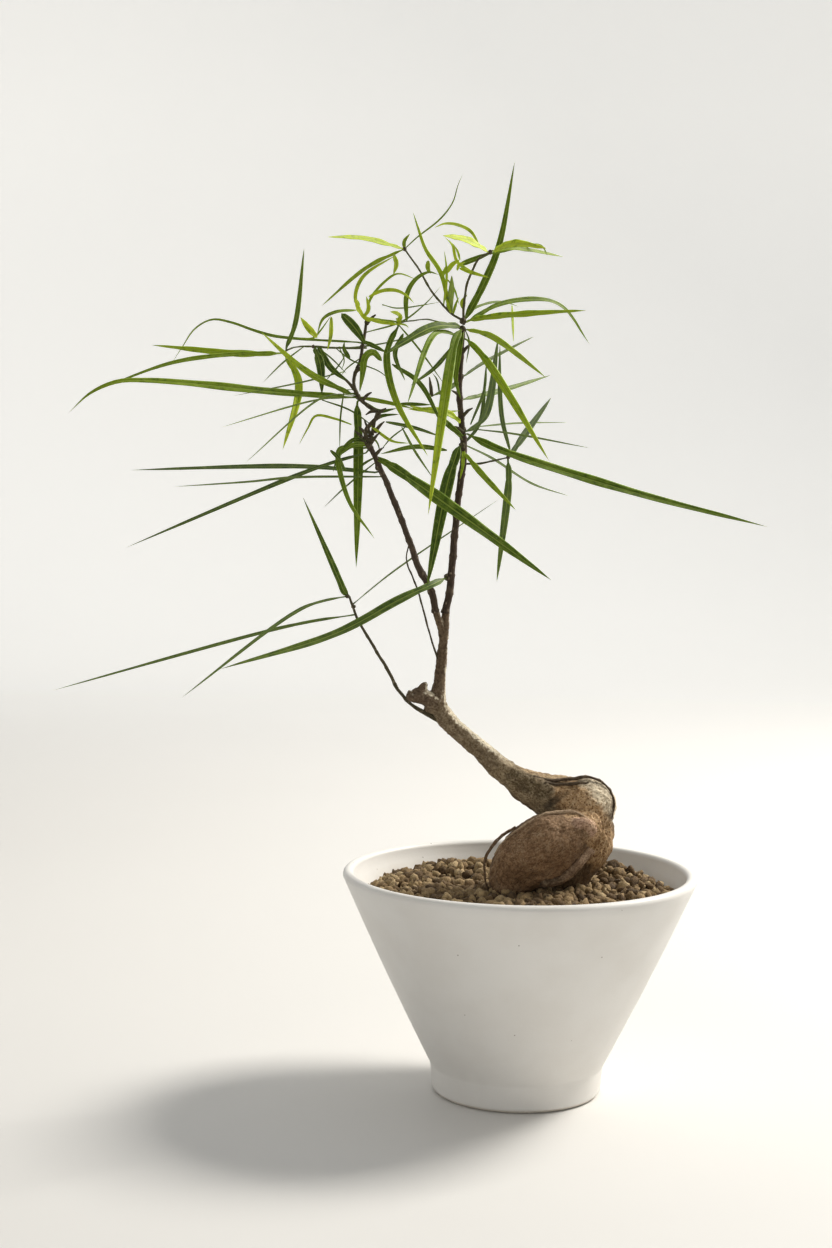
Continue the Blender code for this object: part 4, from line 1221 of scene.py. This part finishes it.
# Leaves too small or fine for the CAD model: youth, bloom, then width and midline in millimetres.
SMALL_LEAVES = {
    "small_leaves_far_left": (
        (0.3, 0, 0.7, (-85, 6, 207), (-92, 0, 200), (-99, -8, 192)),
        (0.3, 0, 0.7, (-69, 2, 197), (-85, -11, 192), (-108, -30, 186)),
        (0.8, 0, 1.0, (-66, -6, 177), (-72, -7, 179), (-79, -8, 180), (-82, -11, 175), (-85, -14, 169)),
        (0.55, 0, 1.4, (-65, 2, 220), (-72, -2, 219), (-77, -5, 216), (-79, -8, 210)),
        (0.95, 0, 2.6, (-79, -8, 209), (-82, -10, 212), (-85, -12, 216)),
        (0.9, 0, 1.6, (-74, -2, 217), (-74, -6, 210), (-75, -10, 204)),
        (0.2, 0, 3.6, (-70, -6, 218), (-65, -2, 213), (-61, 2, 207)),
        (0.25, 0, 2.6, (-80, 4, 205), (-74, 0, 198), (-66, -4, 192)),
        (0.3, 0, 0.7, (-86, 6, 207), (-69, 5, 206), (-50, 5, 209), (-31, 4, 216)),
        (0.5, 0, 2.8, (-55, -3, 201), (-58, -4, 204), (-61, -4, 202), (-62, -5, 195), (-63, -6, 189)),
        (0.3, 0, 0.6, (-78, -2, 205), (-73, -1, 201), (-68, 0, 196)),
        (0.3, 0, 0.6, (-75, -5, 194), (-71, -3, 199), (-68, -2, 204)),
        (0.4, 0, 0.5, (-71, -2, 206), (-69, -3, 201), (-70, -4, 197)),
        (0.4, 0, 0.6, (-65, 0, 203), (-68, -2, 198), (-70, -4, 195)),
        (0.3, 0, 0.6, (-73, -8, 192), (-69, -6, 190), (-65, -5, 190)),
        (0.3, 0, 1.6, (-67, 0, 202), (-69, -1, 205), (-69, -2, 208)),
        (0.3, 0, 2.0, (-62, 2, 209), (-57, 0, 206), (-53, -2, 204)),
        (0.6, 0, 0.7, (-87, -4, 209), (-81, -3, 209), (-78, -2, 212), (-74, 0, 218)),
    ),
    "small_leaves_upper_left": (
        (1.0, 0, 2.2, (-62, -4, 217), (-64, -6, 220), (-65, -8, 224)),
        (0.9, 0, 1.6, (-62, -3, 217), (-60, -3, 220), (-61, -2, 225)),
        (0.9, 0, 1.4, (-62, -4, 217), (-55, -6, 215), (-47, -8, 214)),
        (0.85, 0, 1.5, (-62, -4, 218), (-65, -4, 223), (-64, -4, 229), (-60, -4, 234), (-50, -4, 240)),
        (0.7, 0, 1.3, (-61, 0, 219), (-59, 1, 225), (-54, 3, 231), (-49, 4, 234), (-42, 6, 232)),
        (0.9, 0, 1.5, (-60, 0, 225), (-55, -2, 227), (-50, -4, 227), (-46, -6, 225), (-43, -8, 222)),
        (0.5, 0, 1.9, (-46, 0, 219), (-46, -1, 225), (-43, -2, 231), (-38, -3, 234), (-34, -4, 233)),
        (0.95, 0, 2.6, (-48, -2, 216), (-49, -4, 218), (-52, -6, 219)),
        (0.3, 0, 0.7, (-73, 2, 204), (-66, 0, 201), (-56, -4, 197), (-50, -6, 192)),
        (0.5, 0, 0.7, (-60, 2, 212), (-48, 4, 216), (-39, 6, 223), (-33, 8, 230)),
        (0.5, 0, 0.6, (-55, 0, 222), (-48, 2, 221), (-33, 8, 224)),
        (0.6, 0, 1.2, (-48, 0, 216), (-54, -1, 216), (-60, -3, 217)),
        (0.9, 0, 1.4, (-64, -3, 220), (-64, -3, 222), (-65, -4, 224)),
        (0.9, 0, 1.6, (-63, -3, 218), (-60, -4, 216), (-58, -5, 216)),
        (0.8, 0, 1.2, (-49, -3, 215), (-46, -5, 214), (-45, -6, 213)),
    ),
    "small_leaves_top": (
        (0.85, 0, 1.9, (-51, 2, 241), (-50, 0, 237), (-51, -2, 233)),
        (0.65, 0, 1.5, (-47, 2, 243), (-47, 3, 246), (-45, 4, 249)),
        (0.5, 0, 0.7, (-47, 2, 243), (-42, 5, 248), (-34, 10, 255), (-29, 14, 262), (-27, 17, 269),
         (-25, 20, 274)),
        (0.75, 0, 1.9, (-28, 8, 222), (-33, 6, 234), (-39, 4, 243), (-42, 3, 251), (-44, 2, 257)),
        (0.7, 0, 1.9, (-38, 4, 239), (-38, 3, 236), (-37, 2, 234)),
        (0.85, 0, 1.4, (-19, 14, 247), (-22, 11, 251), (-27, 8, 253), (-32, 5, 253), (-36, 2, 251)),
        (0.7, 0.6, 2.6, (-28, 8, 223), (-29, 7, 228), (-29, 6, 234)),
        (0.8, 0, 1.1, (-30, 8, 225), (-31, 6, 230), (-31, 4, 236), (-32, 4, 243)),
        (0.9, 0, 1.5, (-24, 10, 237), (-27, 8, 239), (-29, 6, 245), (-32, 4, 248)),
        (0.9, 0, 1.5, (-26, 10, 237), (-21, 7, 235), (-15, 4, 233)),
        (0.4, 0, 2.2, (-27, 12, 238), (-20, 14, 241), (-13, 16, 244)),
        (0.5, 0, 1.9, (-14, 14, 243), (-3, 17, 246), (5, 19, 247), (8, 20, 243)),
        (0.75, 0.6, 1.7, (-28, 6, 221), (-29, 5, 227), (-29, 5, 233)),
        (0.8, 0, 1.4, (-26, 8, 221), (-25, 8, 224), (-23, 8, 227)),
        (0.8, 0, 1.2, (-29, 6, 220), (-30, 6, 222), (-31, 5, 225)),
        (0.7, 0, 1.2, (-27, 8, 221), (-27, 9, 224), (-26, 9, 226)),
        (0.9, 0, 1.9, (-31, 8, 235), (-29, 8, 238), (-26, 8, 240)),
        (0.8, 0, 1.4, (-33, 8, 233), (-32, 7, 235), (-31, 7, 238)),
        (0.9, 0, 1.4, (-27, 8, 236), (-26, 7, 238), (-24, 7, 239)),
        (0.8, 0, 1.0, (-26, 8, 240), (-27, 7, 243), (-29, 6, 246)),
        (0.7, 0, 0.8, (-31, 8, 233), (-28, 8, 229), (-26, 8, 223)),
    ),
    "small_leaves_middle": (
        (0.3, 0, 1.9, (-47, -4, 211), (-50, -8, 203), (-46, -14, 193)),
        (0.25, 0, 1.9, (-28, -4, 207), (-35, -12, 198), (-44, -20, 191)),
        (0.3, 0, 1.9, (-51, 2, 200), (-40, -3, 192), (-31, -10, 175)),
        (0.6, 0, 1.9, (-63, -4, 187), (-52, -8, 185), (-43, -12, 183)),
        (0.9, 0, 1.9, (-44, -6, 184), (-35, 0, 182), (-25, 5, 183)),
        (0.35, 0, 1.9, (-30, 3, 168), (-42, -4, 169), (-55, -12, 166)),
        (0.35, 0, 2.2, (-32, 2, 180), (-28, -4, 176), (-24, -10, 173)),
        (0.35, 0, 0.8, (-50, 2, 213), (-41, 6, 206), (-31, 12, 193)),
        (0.2, 0, 0.8, (-33, 4, 189), (-34, 2, 194), (-36, 0, 197)),
        (0.2, 0, 0.7, (-77, -4, 186), (-66, -7, 182), (-56, -10, 175)),
        (0.3, 0, 1.8, (-62, -6, 186), (-56, -8, 182), (-49, -10, 183)),
        (0.25, 0, 1.6, (-60, -10, 177), (-55, -8, 180), (-48, -6, 181)),
        (0.25, 0, 1.6, (-53, -8, 178), (-42, -2, 176), (-32, 4, 173)),
        (0.3, 0, 1.4, (-48, -4, 185), (-42, -1, 185), (-36, 2, 185)),
        (0.3, 0, 1.1, (-47, -10, 176), (-42, -15, 167), (-35, -20, 157)),
        (0.3, 0, 2.2, (-34, -6, 181), (-29, -1, 177), (-24, 4, 172)),
        (0.3, 0, 1.9, (-25, 6, 194), (-30, 1, 191), (-36, -4, 188)),
        (0.45, 0, 2.4, (-24, 5, 215), (-26, 3, 205), (-27, 2, 195), (-25, 0, 187)),
        (0.8, 0, 1.2, (-56, -12, 174), (-51, -14, 171), (-44, -16, 170)),
        (0.3, 0, 0.8, (-59, -12, 174), (-56, -13, 170), (-55, -13, 166)),
        (0.3, 0, 0.6, (-46, -8, 176), (-51, -10, 172), (-55, -13, 167)),
        (0.7, 0, 1.5, (-25, 2, 169), (-24, -2, 162), (-25, -4, 157)),
    ),
    "small_leaves_right": (
        (0.8, 0, 1.0, (-6, 8, 223), (-6, 0, 216), (-6, -10, 208)),
        (0.3, 0.5, 1.6, (-21, 8, 170), (-17, 12, 180), (-15, 20, 202)),
        (0.3, 0.5, 1.9, (-6, 4, 168), (-9, 8, 180), (-10, 12, 193), (-10, 16, 209)),
        (0.35, 0.5, 1.2, (-22, 6, 170), (-12, 12, 165), (3, 21, 156), (19, 30, 151)),
        (0.4, 0.5, 1.0, (-19, 6, 177), (-2, 19, 179), (18, 34, 180)),
        (0.4, 0.5, 0.8, (-18, 6, 176), (-3, -5, 174), (22, -24, 169)),
        (0.1, 0, 0.7, (-25, 7, 195), (-11, 23, 205), (5, 40, 214)),
        (0.45, 0.5, 1.6, (-24, 9, 218), (-19, 17, 223), (-10, 26, 226), (-2, 34, 225)),
        (0.2, 0, 0.7, (-23, 8, 214), (-22, 9, 209), (-23, 10, 201)),
        (0.3, 0.5, 1.1, (-21, 8, 178), (-16, 11, 191), (-15, 14, 201)),
    ),
    "small_leaves_low_left": (
        (0.35, 0.4, 1.1, (-56, -12, 156), (-84, -24, 157), (-103, -32, 155), (-128, -44, 153)),
        (0.2, 0, 0.7, (-58, -13, 163), (-67, -22, 154), (-75, -30, 146)),
        (0.4, 0, 1.9, (-60, -14, 169), (-65, -18, 169), (-70, -20, 165)),
        (0.3, 0, 0.7, (-69, -4, 189), (-70, -8, 179), (-70, -12, 167)),
        (0.35, 0, 2.8, (-57, -14, 165), (-50, -15.5, 161), (-43, -22, 155)),
        (0.25, 0, 1.6, (-73, -20, 167), (-70, -22, 164), (-67, -24, 159)),
        (0.25, 0, 1.6, (-60, -14, 170), (-65, -16, 171), (-70, -19, 165), (-72, -22, 159)),
        (0.3, 0, 1.1, (-56, -14, 165), (-61, -16, 162), (-64, -18, 158)),
    ),
}


def blade(rows, sides, seed, fold=0.24, wave=0.05):
    """Points, faces and (across, along) of a leaf with (x, y, z, half width) rows and a sunken midrib."""
    centres = rows[:, :3]
    half = rows[:, 3]
    directions = directions_of(centres)
    sides = unit(sides - directions * np.sum(sides * directions, axis=1, keepdims=True))
    normals = np.cross(sides, directions)
    if np.dot(normals[len(rows) // 2], (0, -1, 0.5)) < 0:
        normals = -normals
        sides = -sides
    along = np.linspace(0, 1, len(rows))
    ripple = wave * np.sin(along * 17 + seed * 1.9) + wave * 0.7 * np.sin(along * 31 + seed)
    top = np.linspace(-1, 1, LEAF_HALF_LINES * 2 + 1)
    section = [(u, 1.0) for u in top] + [(u, -1.0) for u in top[-2:0:-1]]
    points = [centres[0] - directions[0] * 0.2 * MM]
    laid = [(0.5, 0.0, 0.0)]
    rings = [[0]]
    for step in range(len(rows) - 1):
        rings.append(list(range(len(points), len(points) + len(section))))
        for u, face in section:
            thin = LEAF_THICKNESS / 2 * math.sqrt(max(1 - u * u, 0.0)) * min(1.0,
                                                                             half[step] / (0.5 * MM))
            rib = math.exp(-(u / 0.16) ** 2)
            lift = fold * half[step] * abs(u) ** 1.2 + ripple[step] * half[step] * u * abs(u) * 1.6
            lift += face * thin - (0.07 if face > 0 else 0.20) * MM * rib * min(1.0,
                                                                                half[step] / (1.2 * MM))
            points.append(centres[step] + sides[step] * u * half[step] + normals[step] * lift)
            laid.append(((u + 1) / 2, along[step], 0.0))
    rings.append([len(points)])
    points.append(centres[-1])
    laid.append((0.5, 1.0, 0.0))
    return points, sheet(rings), laid


def lay_leaf(mesh, laid, looks):
    """Stores each point's place across and along its leaf, and its row of looks: youths and bloom."""
    laid = np.array(laid)
    looks = np.array(looks)
    lay_on(mesh, "blade", "FLOAT_VECTOR", laid)
    lay_on(mesh, "youth", "FLOAT", looks[:, 0] + (looks[:, 1] - looks[:, 0]) * laid[:, 1])
    lay_on(mesh, "bloom", "FLOAT", looks[:, 2])


def on_stem(place, stems, reach):
    """The nearest place in the middle of a stem, or the place itself where none is within reach."""
    gaps = np.linalg.norm(stems - place, axis=1)
    return stems[np.argmin(gaps)] if gaps.min() < reach else place


# Leaves trimmed from their CAD solid: a share of the width, how far towards straight, and how far
# towards a blunt base that tapers evenly to the tip.
TRIMMED = {
    "leaf_low_long_fine": (0.48, 0.75, 0), "leaf_leader_left_sweep": (0.8, 0, 0),
    "leaf_low_upright": (0.95, 0, 0.8),
    "leaf_low_left_mid": (0.68, 0, 0), "leaf_low_left_long": (0.72, 0, 0),
    "leaf_left_slanting": (0.78, 0, 0),
    "leaf_left_low_arch": (0.5, 0, 0), "leaf_left_low_fine": (0.5, 0, 0),
    "leaf_far_left_upright": (0.85, 0, 0.3),
    "leaf_far_left_arch": (0.8, 0, 0), "leaf_crown_right_arch": (0.8, 0, 0),
    "leaf_crown_top": (0.9, 0, 0.5),
}


def make_leaf(name, number, finish, slot, stems):
    rows, sides = leaf_rows(name)
    rows = np.array(rows)
    sides = np.array(sides)
    share, straight, blunt = TRIMMED.get(name, (1, 0, 0))
    rows[:, 3] *= share
    chord = rows[0, :3] + np.linspace(0, 1, len(rows))[:, None] * (rows[-1, :3] - rows[0, :3])
    rows[:, :3] += (chord - rows[:, :3]) * straight
    start = rows[0].copy()
    start[:3] = on_stem(rows[0, :3] - directions_of(rows[:, :3])[0] * 0.8 * MM, stems, 5 * MM)
    start[3] = 0.4 * MM
    rows[0, 3] = min(rows[0, 3], 0.6 * MM)
    joined = np.column_stack([np.vstack([start, rows]), np.vstack([sides[:1], sides])])
    joined = smooth_rows(joined, LEAF_STEPS)
    half = joined[:, 3]
    along = np.linspace(0, 1, LEAF_STEPS)
    base = slice(LEAF_STEPS // 5)
    half[base] = np.maximum(half, np.interp(0.2, along, half) * smoothstep(along, 0.015, 0.10))[base]
    taper = half.max() * (1 - along) ** 0.85 * (0.2 + 0.8 * smoothstep(along, 0.01, 0.06))
    half += (taper - half) * blunt
    half[:] = np.maximum(half, 0.0)
    half[-1] = 0
    points, faces, laid = blade(joined[:, :4], joined[:, 4:7], number)
    piece = add_piece(f"{name}_blade", points, faces, finish, slot, (name,))
    lay_leaf(piece.data, laid, [LEAF_LOOKS[name]] * len(points))


def make_small_leaves(name, leaves, finish, slot, stems):
    joined = Gathered()
    looks = []
    for number, (youth, bloom, width, *midline) in enumerate(leaves):
        places = np.array([planted(*place) for place in midline])
        places[0] = on_stem(places[0], stems, 4 * MM)
        centres = smooth_rows(places, 22)
        along = np.linspace(0, 1, len(centres))
        half = width * MM / 2 * np.clip(np.sin(math.pi * (0.06 + 0.94 * along) ** 0.8), 0, 1) ** 0.75
        half[0] = 0.25 * MM
        tilt = 0.6 * math.sin(number * 2.3 + width)
        facing = np.array((math.sin(tilt) * 0.6, -1, 0.35 + 0.3 * math.cos(number * 1.7)))
        sides = np.cross(directions_of(centres), facing)
        joined.add(*blade(np.column_stack([centres, half]), sides, number, 0.3))
        looks += [(youth, youth, bloom)] * joined.counts[-1]
    piece = add_piece(name, joined.points, joined.faces, finish, slot)
    lay_leaf(piece.data, joined.laid, looks)


# ---------------------------------------------------------------- stage

PLANT_MIDDLE = (-0.03, 0, 0.16)

# Each light's name, place, size in metres, power in watts and colour.
LIGHTS = (("window_right", (0.92, 0.52, 1.05), 0.45, 27, (1.0, 0.96, 0.89)),
          ("soft_front", (-0.7, -1.1, 0.7), 1.2, 1.4, (0.97, 0.98, 1.0)),
          ("overhead", (0.1, 0.1, 1.4), 1.0, 1.5, (1.0, 0.99, 0.96)))
SKY = (0.86, 0.90, 0.94, 1)
SKY_STRENGTH = 0.26
FLOOR_REACH = 1.6
SWEEP_RADIUS = 0.8
BACKDROP_HEIGHT = 2.6

CAMERA_PLACE = (-0.0408, -0.757, 0.2327)
CAMERA_LENS = 57.69
CAMERA_DOWN = 4.05
CAMERA_ROLL = 0.75


def make_stage():
    """A pale floor that curves up, far off, into a backdrop all round."""
    profile = [(0.02 + (FLOOR_REACH - 0.02) * step / 20, 0.0) for step in range(21)]
    profile += arc(FLOOR_REACH, SWEEP_RADIUS, SWEEP_RADIUS, -90, 0, 14)[1:]
    profile += [(FLOOR_REACH + SWEEP_RADIUS, BACKDROP_HEIGHT)]
    points, faces = lathe(profile, 96)
    backdrop = add_piece("floor", points, faces[:1] + faces[2:],
                         finish_named("studio_floor", studio_floor))
    backdrop.data.flip_normals()
    backdrop.visible_shadow = False


def add_light(name, place, size, power, color):
    data = bpy.data.lights.new(name, "AREA")
    data.shape = "RECTANGLE"
    data.size = size
    data.size_y = size
    data.energy = power
    data.color = color
    made = bpy.data.objects.new(name, data)
    made.location = place
    made.rotation_euler = (Vector(PLANT_MIDDLE) - Vector(place)).to_track_quat("-Z", "Y").to_euler()
    bpy.context.scene.collection.objects.link(made)


def light_scene():
    for light in LIGHTS:
        add_light(*light)
    world = bpy.data.worlds.new("studio")
    world.use_nodes = True
    sky = world.node_tree.nodes["Background"]
    sky.inputs["Color"].default_value = SKY
    sky.inputs["Strength"].default_value = SKY_STRENGTH
    bpy.context.scene.world = world
    bpy.context.scene.view_settings.view_transform = "Standard"


def add_camera():
    """A long view from the front, turned down a little."""
    data = bpy.data.cameras.new("front_view")
    data.lens = CAMERA_LENS
    data.sensor_width = 36
    data.clip_start = 0.05
    camera = bpy.data.objects.new("front_view", data)
    down = Matrix.Rotation(math.radians(90 - CAMERA_DOWN), 4, "X")
    roll = Matrix.Rotation(math.radians(CAMERA_ROLL), 4, "Z")
    camera.matrix_world = Matrix.Translation(CAMERA_PLACE) @ down @ roll
    bpy.context.scene.collection.objects.link(camera)
    bpy.context.scene.camera = camera


# ---------------------------------------------------------------- everything

grains = finish_named("soil_granule_clay", soil_grains)
bark = finish_named("old_trunk_bark", old_bark)
twig_bark = finish_named("young_twig_bark", young_bark)
leaf_finish = {"mature_leaf": finish_named("mature_leaf_skin", leaf_skin),
               "young_leaf": finish_named("young_leaf_skin", leaf_skin)}
slot_of = {part["node"]: part["material_slot"] for part in frame["record"]["subparts"]}

make_pot(finish_named("white_glaze", white_ceramic))
make_soil_bed(finish_named("soil_dark_fines", fines_and_gap_shade))
make_granules(grains)
trunk_surface = make_trunk(bark)
for root in ROOT_STRANDS:
    make_loose_root(root, bark, trunk_surface)
make_surface_lines(bark, trunk_surface)
stem_middles = np.vstack([make_stem(stem, twig_bark) for stem in STEMS])
make_stubs(twig_bark)
for number, leaf in enumerate(LEAF_LOOKS):
    make_leaf(leaf, number, leaf_finish[slot_of[leaf]], slot_of[leaf], stem_middles)
for group, leaves in SMALL_LEAVES.items():
    age = "young_leaf" if leaves[0][0] > 0.8 else "mature_leaf"
    make_small_leaves(group, leaves, leaf_finish[age], age, stem_middles)

screen = frame["nodes"]["drainage_screen"]
screen.data.materials.clear()
screen.data.materials.append(finish_named("moulded_screen", screen_plastic))

make_stage()
light_scene()
add_camera()
